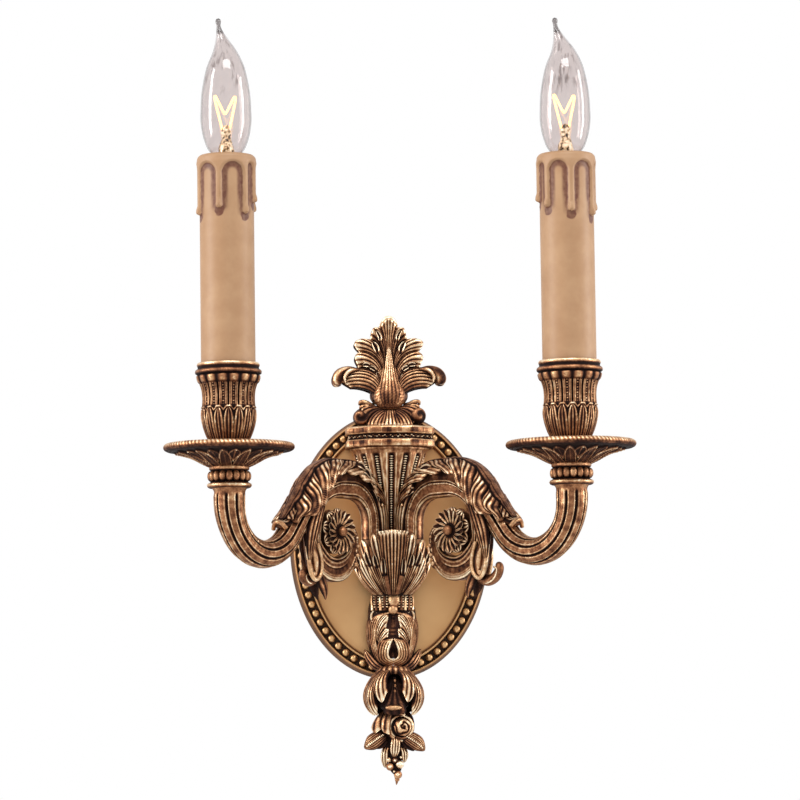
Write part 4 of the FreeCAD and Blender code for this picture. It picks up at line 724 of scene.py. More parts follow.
def make_finial():
    """Leaf crest: ribs leave a bright stem like a fountain, in four lobes a side, over a round belly."""
    crest = Casting()
    belly = smooth_line([(6.5, 84.4), (9.4, 85.6), (11.2, 88.6), (11.3, 92), (10.0, 97), (6.0, 104)], 30, 2)
    belly = np.vstack([[0.5, 84.4], belly, [0.5, 104.4]])

    def streaks(psi, r, z):
        wave = 0.5 + 0.5 * np.sin(23 * psi + 1.5 * np.sin(0.5 * z))
        return 0.22 * wave * rising(z, 86, 89), 0 * z, 0.18 + 0.30 * wave + 0.5 * bump((z - 85.4) / 1.3)
    crest.add(*lathe(belly, 160, streaks, out=BODY_OUT))

    def speckle(shape):
        row, column = np.indices(shape)
        return 0.56 + 0.26 * np.sin(2.3 * row + 1.7 * column) * np.sin(1.1 * column - 0.6 * row)
    for face in (1, -1):
        def at(x, forward, z):
            return x, BODY_OUT + face * forward, z
        out = (0, face, 0.1)
        for side in (-1, 1):
            # from the lowest notch up, notches and tips in turn, as (across, forward, up)
            leaf = [(7.5, 8.0, 89.5, 12.5, 7.2, 94.6, 23.0, 4.6, 95.2),
                    (4.8, 9.4, 92.5, 9.8, 6.2, 106.2, 29.0, 3.6, 100.0),
                    (4.2, 9.0, 96.5, 7.6, 5.4, 109.5, 19.2, 3.8, 106.6),
                    (3.5, 8.6, 99.5, 6.8, 4.6, 114.8, 20.8, 5.2, 113.0),
                    (3.0, 8.2, 102.5, 5.6, 4.2, 116.5, 17.6, 3.2, 116.6),
                    (2.6, 7.8, 105.5, 4.8, 3.6, 121.0, 21.0, 5.6, 122.4),
                    (2.3, 7.2, 109.5, 3.8, 3.2, 123.0, 12.0, 2.8, 124.2),
                    (2.0, 6.6, 113.0, 3.0, 2.6, 126.5, 9.6, 4.6, 131.4),
                    (1.6, 6.0, 117.0, 2.2, 2.2, 126.0, 5.0, 2.4, 129.6)]
            stations = by_threes(leaf, mirrored(side, at))
            crest.fan(stations, [7, 5, 6, 4], out, swell=1.7, depth=0.75, thick=3.4, curl=1.6, rows=27,
                      fine=7)
            roll_line = ((17.5, 3.0, 105.6), (23.5, 3.4, 106.6), (28.6, 4.4, 104.2), (31.2, 5.4, 100.2),
                         (30.4, 6.0, 96.6))
            roll = [at(side * x, y, z) for x, y, z in roll_line]
            a = circle(24)
            ridged = 0.34 + 0.6 * np.abs(np.cos(1.5 * a)) ** 5
            crest.add(tube(roll, lambda t: (1.2 + 2.7 * rising(t, 0.1, 0.75)) * np.sqrt(1.001 - t ** 10),
                           (0, 1, 0), 60, 24), ridged)
            under_roll = ((18.5, 5.6, 106.0), (23.8, 7.6, 105.2), (27.0, 8.4, 101.2), (26.4, 8.4, 97.2))
            crest.lobe([at(side * x, y, z) for x, y, z in under_roll], out, (1.2, 1.7, 1.5, 1.0), ribs=1,
                       crown=0.7, rows=30, columns=16)
            # cupped eyelets between the lobes
            eyelets = ((3.6, 98.0, 5.4, 101.5, 7.6, 103.8, 1.7), (7.6, 104.6, 9.6, 106.6, 12.0, 107.4, 1.3),
                       (11.2, 107.6, 13.4, 108.8, 16.2, 108.6, 1.4),
                       (6.8, 115.2, 7.8, 119.2, 9.8, 122.6, 1.8), (5.2, 122.0, 5.6, 126.0, 7.6, 129.6, 1.2))
            for x0, z0, x1, z1, x2, z2, wide in eyelets:
                crest.lobe([at(side * x0, 8.2, z0), at(side * x1, 8.0, z1), at(side * x2, 8.0, z2)], out,
                           wide, ribs=1, crown=0.35, dish=0.75, depth=0, rows=20, columns=18, root=0.25)
        nod = 1 if face > 0 else 0.2
        crown = by_threes([(-1.4, 7.0, 110, -2.2, 4.2, 124, -5.9, 3.2, 131.0),
                           (0, 7.4, 110, 0, 3.8, 132, 0, 3.0 + 5 * nod, 137.6),
                           (1.4, 7.0, 110, 2.2, 4.2, 124, 5.9, 3.2, 131.0)], at)
        crest.fan(crown, [7], out, swell=1.6, depth=0.5, thick=3.0, curl=1.2, rows=34, fine=8)
        crest.add(tube([at(-4.6, 4.2, 133.2), at(-2.4, 6.8, 136.0), at(0, 7.6, 137.0), at(2.6, 6.8, 136.0),
                        at(5.2, 4.2, 132.8)], lambda t: 0.8 + 0.7 * np.sin(pi * t), (0, 1, 0), 26, 12),
                  0.95)
        grid, relief = lobe([at(0, 10.5, 82.5), at(0, 13.0, 89), at(0, 11.4, 97), at(0, 9.0, 106),
                             at(0, 7.4, 115), at(0, 5.4, 124)], out, (4.2, 6.0, 4.4, 2.8, 1.8, 0.8), ribs=5,
                            crown=0.26, depth=0.35, rows=60, columns=50)
        rising_stem = np.linspace(0.16, 0.46, 60)[:, None]
        crest.add(grid, np.clip(rising_stem + 0.5 * relief + 0.5 * (speckle(relief.shape) - 0.5), 0, 1))
        for side in (-1, 1):
            for k in (1, 2):
                streak = [at(side * (1.6 + 1.8 * k), 12.2 - k, 86.5 - k),
                          at(side * (2.4 + 2.0 * k), 12.6 - 1.3 * k, 92),
                          at(side * (1.2 + 1.7 * k), 11.6 - k, 99),
                          at(side * (0.8 + 1.3 * k), 9.6 - 0.6 * k, 107)]
                crest.add(tube(streak, lambda t: 0.3 + 0.5 * np.sin(pi * t), (0, 1, 0), 30, 8), 0.66)
        crest.add(ball(at(0, 7.8, 89.6), (9.6, 6.2 if face > 0 else 3.0, 9.4 if face > 0 else 6.0), 48, 30),
                  speckle((30, 48)))
    crest.settle("finial_cast", ["finial"])


def round_axis(axis_out):
    """Places a point at an angle, radius and height about a vertical axis off the wall."""
    def at(angle, radius, z):
        a = radians(angle)
        return radius * sin(a), axis_out + radius * cos(a), z
    return at


def make_calyx():
    """Cup of upright leaves round the hub: a ribbed middle fan and two tiers of side leaves."""
    cup, at = Casting(), round_axis(CALYX_OUT)
    outer = smooth_line([(11.5, -31.5), (14.0, -27), (17.0, -20), (19.2, -11), (19.4, -5), (18.8, -2)], 30, 2)
    profile = np.vstack([[0.5, -31.5], outer, [18.0, -2.0], [18.0, -14.0], [0.5, -14.0]])
    cup.add(lathe(profile, 150, out=CALYX_OUT)[0], 0.02)
    for side in (-1, 1):
        # places here are (angle, radius, up) about the calyx's axis
        tall = [(13, 12.0, -30.5, 17, 22.6, -14, 22, 20.2, 0.0),
                (16, 12.3, -30.5, 22, 24.6, -12, 34, 21.6, 5.2),
                (20, 12.4, -30.0, 29, 24.0, -14, 42, 18.8, -3.4),
                (24, 12.5, -29.8, 38, 25.4, -13, 57, 22.0, 2.2),
                (29, 12.6, -29.4, 48, 24.4, -15, 64, 18.8, -7.4),
                (34, 12.7, -29.0, 60, 25.2, -14, 82, 21.8, -1.8),
                (40, 12.8, -28.6, 72, 23.8, -16, 88, 18.8, -11.0),
                (48, 12.9, -28.4, 86, 24.6, -15, 110, 21.0, -5.0),
                (60, 12.9, -28.4, 100, 23.6, -17, 130, 19.6, -9.0)]
        low = [(26, 12.2, -30.8, 34, 18.6, -23, 41, 18.4, -17.5),
               (32, 12.2, -30.9, 46, 19.8, -21, 57, 21.6, -8.8),
               (40, 12.2, -30.9, 60, 18.8, -23, 69, 18.4, -18.5),
               (50, 12.2, -30.9, 76, 19.8, -22, 90, 21.8, -10.2),
               (62, 12.2, -30.9, 96, 18.2, -24, 110, 18.0, -18.0)]
        tiers = ((tall, [4, 4, 3, 4], 0.0, 1.0, 1.1), (low, [4, 4], 0.9, 1.1, 1.25))
        for rows, ribs, over, swell, share in tiers:
            stations = by_threes(rows, lambda angle, radius, z: at(side * angle, radius + over, z))
            cup.fan(stations, ribs, CALYX_OUT, swell=swell, depth=1.0, thick=1.6, curl=0.5, rows=27, fine=8,
                    share=share)
        # cupped eyelets between the leaves
        eyelets = ((16.5, -20.5, 17.5, -9.0, 21.4, 1.5), (26, -15.5, 29, -7.5, 23.9, 1.5),
                   (38, -14.5, 44, -5.5, 24.1, 1.6), (57, -14, 64, -6.5, 24.3, 1.4))
        for a0, z0, a1, z1, r, wide in eyelets:
            cup.lobe([at(side * a0, r - 1.6, z0), at(side * (a0 + a1) / 2, r, (z0 + z1) / 2),
                      at(side * a1, r + 0.2, z1)], (side * 0.35, 1, 0), wide, ribs=1, crown=0.3, dish=0.8,
                     depth=0, rows=24, columns=18, root=0.6, peak=0.4)
        cup.add(tube([at(side * 9, 13.0, -30.6), at(side * 12, 18.2, -24), at(side * 13, 19.8, -20)], 1.2,
                     (1, 0, 0), 16, 12), 0.5)
    middle = by_threes([(-14, 12.4, -31, -20, 23.2, -8, -22, 22.4, 6.4),
                        (0, 12.6, -31, 0, 24.6, -8, 0, 22.6, 7.4),
                        (14, 12.4, -31, 20, 23.2, -8, 22, 22.4, 6.4)], at)
    cup.fan(middle, [8], CALYX_OUT, swell=0.5, depth=0.9, thick=2.0, curl=0.8, rows=44, fine=9, even=0.7)
    for k in range(-4, 5):
        cup.lobe([at(k * 4.6, 21.6, 2.4), at(k * 5.2, 22.9, 5.2), at(k * 5.6, 23.6, 7.4 - 0.06 * k * k)],
                 (0, 1, 0.3), 1.25, ribs=1, crown=0.4, rows=12, columns=10, peak=0.7)
    cup.settle("calyx_cast", ["calyx"])


def make_bracket():
    """Half-round leafy bracket: a clasp on top, feathered swirls round a slit, loops round an eye."""
    piece = Casting()
    outer = smooth_line([(12, -31.5), (14.0, -38), (14.6, -46), (14.5, -56), (13.2, -66), (9.6, -76)], 40, 2)
    profile = np.vstack([[0.5, -31.5], outer, [0.5, -76.0]])

    def open_parts(psi, r, z):
        x = r * np.sin(psi)
        front = np.cos(psi) > 0
        slit = (bump(x / (1.7 + 1.3 * rising(-z, 43, 53))) * rising(-z, 41.5, 43)
                * (1 - rising(-z, 55.5, 57.5)) * front)
        eye = bump(np.hypot(x * (1 + 0.5 * rising(z, -66, -60)), (z + 65.6) / 1.4) / 3.3) * front
        opening = np.maximum(slit, eye)
        rungs = 0.5 + 0.5 * np.cos(2 * pi * z / 2.6)
        relief = (0.24 * (1 - opening) + slit * (0.26 + 0.34 * rungs)
                  + eye * (0.2 + 0.4 * bump((z + 67) / 3)))
        return -1.8 * slit ** 0.6 - 3.4 * eye ** 0.6 + 0.7 * rungs * slit, 0 * z, relief
    piece.add(*lathe(profile, 200, open_parts, out=BODY_OUT))

    def on_body(points, lift=0.3):
        p = np.array(points, float)
        r = np.interp(p[:, 1], outer[::-1, 1], outer[::-1, 0]) + lift
        return np.stack([p[:, 0], BODY_OUT + np.sqrt(np.maximum(r * r - p[:, 0] ** 2, 1.0)), p[:, 1]], 1)
    for side in (-1, 1):
        for k in range(5):
            loop = [(side * (0.5 + 0.75 * k), -57.4 - 0.2 * k), (side * (2.0 + 1.45 * k), -60.2 + 0.2 * k),
                    (side * (3.5 + 1.45 * k), -65.2), (side * (2.9 + 1.25 * k), -68.7 - 0.55 * k),
                    (0, -70.4 - 1.2 * k)]
            piece.add(tube(on_body(loop, 0.5), lambda t: 0.62 + 0.12 * np.sin(pi * t), (0, 1, 0), 40, 10,
                           1.3), 0.92 - 0.11 * k)
        for k in range(4):
            ridge = [(side * (2.2 + 1.6 * k), -41.6 - 0.3 * k), (side * (7.4 + 1.5 * k), -43.8 - 0.5 * k),
                     (side * (10.2 + 1.1 * k), -49.5), (side * (10.8 + 0.9 * k), -56),
                     (side * (9.8 + 0.7 * k), -63 - 0.5 * k), (side * (7.4 + 0.6 * k), -70.4 - 0.6 * k)]
            piece.add(tube(on_body(ridge, 0.4), lambda t: 0.66 - 0.2 * t, (0, 1, 0.2), 46, 10, 1.3),
                      0.78 - 0.07 * k)
        feather = [(8.2, -60.2, 5.6, -57.8, 3.4, -56.8), (8.4, -59.6, 6.6, -56, 2.8, -51.6),
                   (8.8, -59.0, 8.0, -54.5, 4.2, -50.6), (9.2, -58.2, 9.2, -50, 2.8, -43.6),
                   (10.0, -57.5, 11.4, -49, 5.4, -42.6)]
        stations = [[on_body([(side * p[j], p[j + 1])], 0.2)[0] for j in (0, 2, 4)] for p in feather]
        piece.fan(stations, [3, 4], (side * 0.3, 1, 0), swell=1.0, depth=0.8, thick=1.8, rows=26, even=0.7,
                  share=1.2)
        piece.lobe(on_body([(side * 10.5, -47.5), (side * 11.4, -44), (side * 10.8, -40.5)], 0.4),
                   (side * 0.6, 1, 0), 2.4, ribs=1, crown=0.3, dish=0.7, depth=0, rows=20, columns=20,
                   root=0.7)
        for k in range(4):
            x = side * (4.6 + 2.4 * k)
            piece.add(tube(on_body([(x, -31.2), (x * 1.03, -35), (x * 1.02, -40.4)], 1.2), 1.3 - 0.08 * k,
                           (0, 0, 1), 18, 12, 1.2), 0.45 + 0.35 * (k % 2))
            for j in range(5):
                spot = on_body([(x - side * 1.1, -31.8 - 1.6 * j)], 2.0)[0]
                piece.add(ball(spot, (0.9, 0.7, 0.55), 8, 5), 0.9)
        tip = [(side * 5.0, 32, -76.2), (side * 10.4, 29.4, -73.4), (side * 14.2, 26, -68.6),
               (side * 17.0, 23.4, -63.4)]
        piece.lobe(tip, (side * 0.5, 1, 0), (1.4, 2.7, 2.8, 1.8), ribs=3, depth=0.6, peak=0.6, rows=34,
                   columns=30, share=0.66)
        piece.lobe([(side * 12.0, 27.5, -41), (side * 13.6, 25, -50), (side * 13.8, 23.4, -58),
                    (side * 13.4, 22.4, -64)], (side, 0.6, 0), (1.6, 2.8, 2.6, 1.8), ribs=4, depth=0.6,
                   rows=40, columns=36, share=0.72)
    piece.add(tube([(-11, 27, -34.4), (0, 30.6, -35), (11, 27, -34.4)], 3.5, (0, 0, 1), 30, 20), 0.12)
    piece.add(ball((0.6, 35.2, -34.0), (3.6, 3.2, 5.2), 28, 16), 0.8)
    piece.add(ball((0, 35.8, -39.8), (3.1, 3.0, 3.0), 24, 14), 0.7)
    piece.settle("bracket_cast", ["bracket"])


def make_ball_drop():
    """Hanging lobes whose ribs fan out from the crown; the front pair is short over a dark hollow."""
    drop, at = Casting(), round_axis(DROP_OUT)
    rim = smooth_line([(8.3, -74), (9.6, -75), (10.2, -76.6), (9.4, -78.4)], 12, 2)
    crown = np.vstack([[0.5, -74.0], rim, [0.5, -79]])
    drop.add(*lathe(crown, 60, lambda psi, r, z: (0, 0 * z, 0.5 + 0.3 * np.sin(17 * psi)), out=DROP_OUT))
    drop.add(ball((0, DROP_OUT - 2.5, -89.5), (11.5, 10.5, 12.5), 36, 20), 0.20)
    short = ((10, 8.8, -76.4, 22, 15.5, -78, 17, 15.2, -89.0),
             (16, 8.8, -76.2, 40, 20.5, -81, 30, 15.4, -95.4),
             (22, 8.8, -76.0, 52, 21.5, -82, 43, 15.4, -91.0))
    for side in (-1, 1):
        front = by_threes(short, mirrored(side, at))
        drop.fan(front, [4], DROP_OUT, swell=1.5, depth=0.55, thick=2.2, rows=34, fine=9, even=0.6,
                 share=1.12)
        flank = [(24, 8.8, -76.0, 50, 20.5, -85, 46, 14.4, -98.5),
                 (34, 8.8, -75.8, 62, 24.6, -89, 60, 11.8, -103.2),
                 (48, 8.8, -75.6, 84, 23.0, -89, 84, 12.4, -101.0),
                 (62, 8.8, -75.6, 96, 24.6, -90, 98, 11.6, -103.2),
                 (84, 8.8, -75.6, 116, 23.0, -89, 120, 12.4, -101.0),
                 (104, 8.8, -75.6, 136, 24.6, -90, 140, 11.6, -103.0),
                 (130, 8.8, -75.6, 160, 23.0, -89, 164, 12.4, -101.0),
                 (150, 8.8, -75.6, 182, 24.0, -90, 186, 11.6, -103.0),
                 (170, 8.8, -75.6, 200, 22.6, -89, 206, 12.4, -101.0)]
        sides = by_threes(flank, mirrored(side, at))
        drop.fan(sides, [5, 4, 4, 3], DROP_OUT, swell=1.3, depth=0.6, thick=2.0, rows=40, fine=8, even=0.6,
                 share=1.05)
    drop.lobe([at(0, 10.4, -80.4), at(0, 11.4, -87), at(0, 12.2, -94), at(0, 11.8, -100), at(0, 11, -103)],
              (0, 1, 0), (0.8, 1.8, 3.6, 6.2, 7.6), ribs=3, crown=0.28, depth=0.4, rows=34, columns=40,
              sharp=4, peak=0.8, share=0.42)
    # this bright ball stands for a highlight at the foot of the hollow: a painted highlight
    drop.add(ball((-0.8, DROP_OUT + 13.2, -98.6), (5.0, 2.4, 1.7), 24, 12), 0.74)
    for x, z, r in ((0.2, -82.6, 0.8), (0.3, -85.6, 0.9), (0.1, -89.0, 1.1)):
        drop.add(ball((x, DROP_OUT + 11.9, z), (r, r, 1.3 * r), 12, 8), 0.6)
    drop.settle("ball_drop_cast", ["ball_drop"])


def make_rose():
    """Rose head: a bud whose height follows a spiral, petals wrapped round it, and leaves below."""
    head = Casting()
    facing, centre = (0.36, 1, 0.02), (4.0, DROP_OUT + 5.2, -110.2)
    edge = np.linspace(0.02, 1, 34)
    profile = np.vstack([np.stack([5.2 * edge, 4.6 * np.sqrt(1 - 0.7 * edge ** 2)], 1),
                         [(5.4, 0.0), (5.0, -4.0)]])

    def petals(a, r, h):
        swirl = np.abs(np.sin(pi * 1.6 * r / 5.2 - a / 2 + 0.35 * np.sin(3 * a + r)
                              + 0.2 * np.sin(5 * a))) ** 0.6
        fade = rising(r, 0.3, 1.6) * (h > 0.2)
        lift = 1.7 * (swirl - 0.7) * fade - 0.7 * (1 - rising(r, 0.3, 1.6))
        return lift, 0.3 * (1 - fade) * (h > 0.2) + (0.02 + 0.85 * swirl) * fade
    head.add(*dome(centre, facing, profile, 64, petals))
    core = ball((0, DROP_OUT - 1, -109.5), (9.4, 8.6, 9.2), 40, 24)
    head.add(core, 0.02 + 0.42 * (core[..., 1] < DROP_OUT - 1) * np.abs(np.sin(5 * np.arange(40) * pi / 20)))
    petal_arcs = ((-120, 95, 6.6, 5.2), (60, 250, 6.9, 4.0), (-170, -40, 8.0, 3.4))
    for first, last, r, forward in petal_arcs:
        a = np.radians(np.linspace(first, last, 8))
        ring = np.stack([centre[0] + r * np.cos(a), centre[1] - 3.0 + forward * 0.6 - 0.25 * np.cos(a) * r,
                         centre[2] + r * np.sin(a)], 1)
        head.lobe(ring, (0.3, 1, 0), 1.5, ribs=1, crown=0.7, root=0.6, depth=0.2, rows=44, columns=18)
    wrap = by_threes([(-7.0, 28, -101.0, -11.5, 30.5, -104.5, -13.2, 30.0, -110.5),
                      (-4.6, 30, -99.6, -12.5, 34.5, -104.5, -11.4, 34.0, -113.4),
                      (-2.6, 31.6, -98.8, -9.0, 36.0, -103.0, -7.6, 35.6, -111.4),
                      (0.6, 33, -98.2, -6.6, 38.6, -102.0, -5.4, 38.2, -113.6),
                      (3.2, 33.2, -98.6, -3.4, 38.4, -101.6, -2.6, 38.4, -114.8)])
    head.fan(wrap, [2, 2], (-0.3, 1, 0), swell=0.9, depth=0.35, thick=1.2, curl=0.9, rows=30, fine=12)
    over = by_threes([(-5.0, 32, -99.4, -1.0, 36.5, -96.8, 3.4, 37.0, -100.4),
                      (-6.6, 32.4, -101.4, 0.5, 38.6, -98.6, 6.4, 37.4, -102.0),
                      (-4.6, 34, -103.6, 1.0, 38.0, -102.8, 5.6, 37.0, -104.0)])
    head.fan(over, [3], (0, 1, 0.2), swell=0.8, depth=0.4, thick=1.2, rows=24, fine=10)
    under = by_threes([(6.0, 30, -101.0, 10.4, 31.0, -101.4, 10.8, 32.0, -106.0),
                       (5.0, 28, -105.0, 12.0, 30.0, -106, 10.6, 33.0, -113.0),
                       (3.0, 30, -112.0, 8.0, 33.0, -115, 4.0, 36.0, -115.6)])
    head.fan(under, [3], (0.5, 1, 0), swell=0.8, thick=1.2)
    leaves = ((1, [(4, 33.0, -114.4), (9.0, 34.6, -117.0), (14.0, 34.2, -120.4), (18.2, 32.6, -124.4)]),
              (-1, [(-5, 33.0, -113.6), (-9.5, 34.6, -116.4), (-14.0, 34.2, -119.6),
                    (-18.2, 32.6, -122.6)]))
    for side, tip in leaves:
        head.lobe(tip, (side * 0.15, 1, 0.25), (2.4, 4.6, 4.8, 3.2), ribs=8, crown=0.22, depth=0.4,
                  peak=0.62, sharp=1.6, rows=40, columns=66, share=0.72)
        for point in smooth_line(tip, 15)[2:-2]:
            head.add(ball(point + [0, 1.25, 0], (0.62, 0.5, 0.62), 8, 5), 1.0)
        head.add(lobe([(x * 0.62 + side * 0.6, y - 1.2, min(z - 2.0 + 0.1 * x * side, -116))
                       for x, y, z in tip], (side * 0.1, 1, 0.3), (2.6, 3.6, 3.4, 2.0), ribs=4, crown=0.3,
                      rows=30, columns=40)[0], 0.25)
    head.lobe([(0.4, 34, -115.5), (0.4, 36.4, -119.5), (0, 35.6, -124), (-0.2, 33.6, -128.4)], (0, 1, 0.1),
              (2.2, 3.0, 3.2, 2.2), ribs=4, peak=0.6, sharp=1.6, rows=34, columns=40)
    head.add(tube([(0, 28, -100), (0, 29, -104)], 6.5, (0, 1, 0), 8, 24), 0.05)
    head.add(ball((0, 31, -119.0), (9.5, 3.6, 5.0), 30, 16), 0.1)
    head.settle("rose_cast", ["rose"])


def make_tail():
    """A berry cluster between small leaves, and a pointed tip."""
    tail = Casting()
    berries = ((-2.9, 33.2, -133.8, 2.4, 0.6), (2.9, 33.2, -132.6, 2.5, 0.9), (1.8, 33, -138.6, 2.5, 0.7),
               (0.2, 33.4, -130.2, 1.9, 0.4), (0.6, 30.4, -134.6, 3.6, 0.1), (0, 30.5, -127.5, 5.2, 0.1),
               (-3.6, 32.6, -129.8, 1.8, 0.8), (3.8, 32.2, -128.4, 1.8, 0.4),
               (-0.4, 33.4, -136.8, 1.5, 0.3))
    for x, out, z, r, relief in berries:
        tail.add(ball((x, out, z), (r, min(r, 3.4), r), 20, 12), relief)
        if r < 3:
            tail.add(ball((x - 0.2, out + 0.75 * r, z + 0.1), (0.45 * r, 0.4 * r, 0.45 * r), 10, 6), 1.0)
    for side, low in ((-1, -134.5), (1, -131.5)):
        tail.lobe([(side * 4.4, 31, -121.5), (side * 5.9, 32.4, -126), (side * 5.8, 31.6, low)],
                  (side * 0.5, 1, 0), (2.2, 2.5, 2.0), ribs=3, rows=24, columns=28)
    tail.add(ball((1.4, 31.2, -141.6), (1.5, 1.4, 1.2), 14, 8), 0.7)
    tail.add(tube([(1.2, 31, -138), (1.2, 31, -141.0), (1.1, 30.8, -143.2), (0.9, 30.6, -144.7)],
                  lambda t: 1.7 * (1 - t) ** 0.8 + 0.2, (0, 1, 0), 26, 14), 0.6)
    tail.settle("berry_tail_cast", ["berry_tail"])


# ---- arms ---------------------------------------------------------------------------------------
def carried(line, away, front):
    """A section (away from the path in its plane, towards the front) carried along an arm-plane line."""
    along = unit(np.gradient(line, axis=0))
    normal = np.stack([-along[:, 1], along[:, 0]], 1)
    s = line[:, :1] + normal[:, :1] * away
    z = line[:, 1:2] + normal[:, 1:2] * away
    return np.stack([s, front + 0 * s, z], -1)


def path_part(corners, bends, start, end, n):
    """The stretch of a bent line between two lengths from its start."""
    whole = bent_line(corners, bends, PATH_POINTS)
    total = np.linalg.norm(np.diff(whole, axis=0), axis=1).sum()
    last = PATH_POINTS - 1
    first, last = int(last * start / total), int(last * min(end / total, 1))
    return evenly(whole[first:last + 1], n, 2)


def make_arm_tube(side, name):
    """Fluted tube: nine narrow grooves run round the bend, between swollen lands."""
    n, columns = 130, 108
    line = path_part(ARM_CORNERS, ARM_BENDS, 107.3, 999, n)
    t = np.linspace(0, 1, n)[:, None]
    a = circle(columns)
    up = (1 - t) * 99.3
    radius = 7.5 + 0.5 * rising(t, 0.2, 0.7) + 0.8 * rising(t, 0.7, 0.93) + 1.8 * rising(t, 0.95, 0.99)
    p = wrapped(a / FLUTE_PITCH + 0.22)
    ends = rising(up, 5.0, 7.5)
    groove = bump(p / 0.17) * ends
    lip = bump((np.abs(p) - 0.20) / 0.055) * ends
    r = radius - 1.2 * groove + 0.45 * lip + 0.25 * bump(wrapped(p + 0.5) / 0.4)
    relief = np.clip(0.56 + 0.44 * lip - 0.6 * groove + 0.08 * np.sin(1.3 * up) * np.sin(3 * a + 0.4 * up),
                     0, 1)
    outer = carried(line, r * np.cos(a), r * np.sin(a))
    inner_r = np.where(up > 3, 5.6, 5.2)
    inner = carried(line, inner_r * np.cos(a), inner_r * np.sin(a))[::-1]
    pipe = Casting(side)
    pipe.add(np.concatenate([outer, inner]), np.vstack([relief, 0.2 + 0 * relief]), loop=True)
    pipe.settle("arm_tube_cast_" + name, ["arm_tube_" + name])


def make_arm_root(side, name):
    """Hidden inner pipe, drawn flat from front to back so that the band stands in front of it."""
    line = path_part(ARM_CORNERS, ARM_BENDS, 0, 106, 90)
    t = np.linspace(0, 1, 90)[:, None]
    a = circle(28)
    root = Casting(side)
    root.add(carried(line, 5.3 * np.cos(a) + 0 * t, (3.4 + 1.9 * rising(t, 0.6, 0.9)) * np.sin(a)), 0.36)
    root.settle("arm_root_pipe_" + name, ["arm_root_" + name])


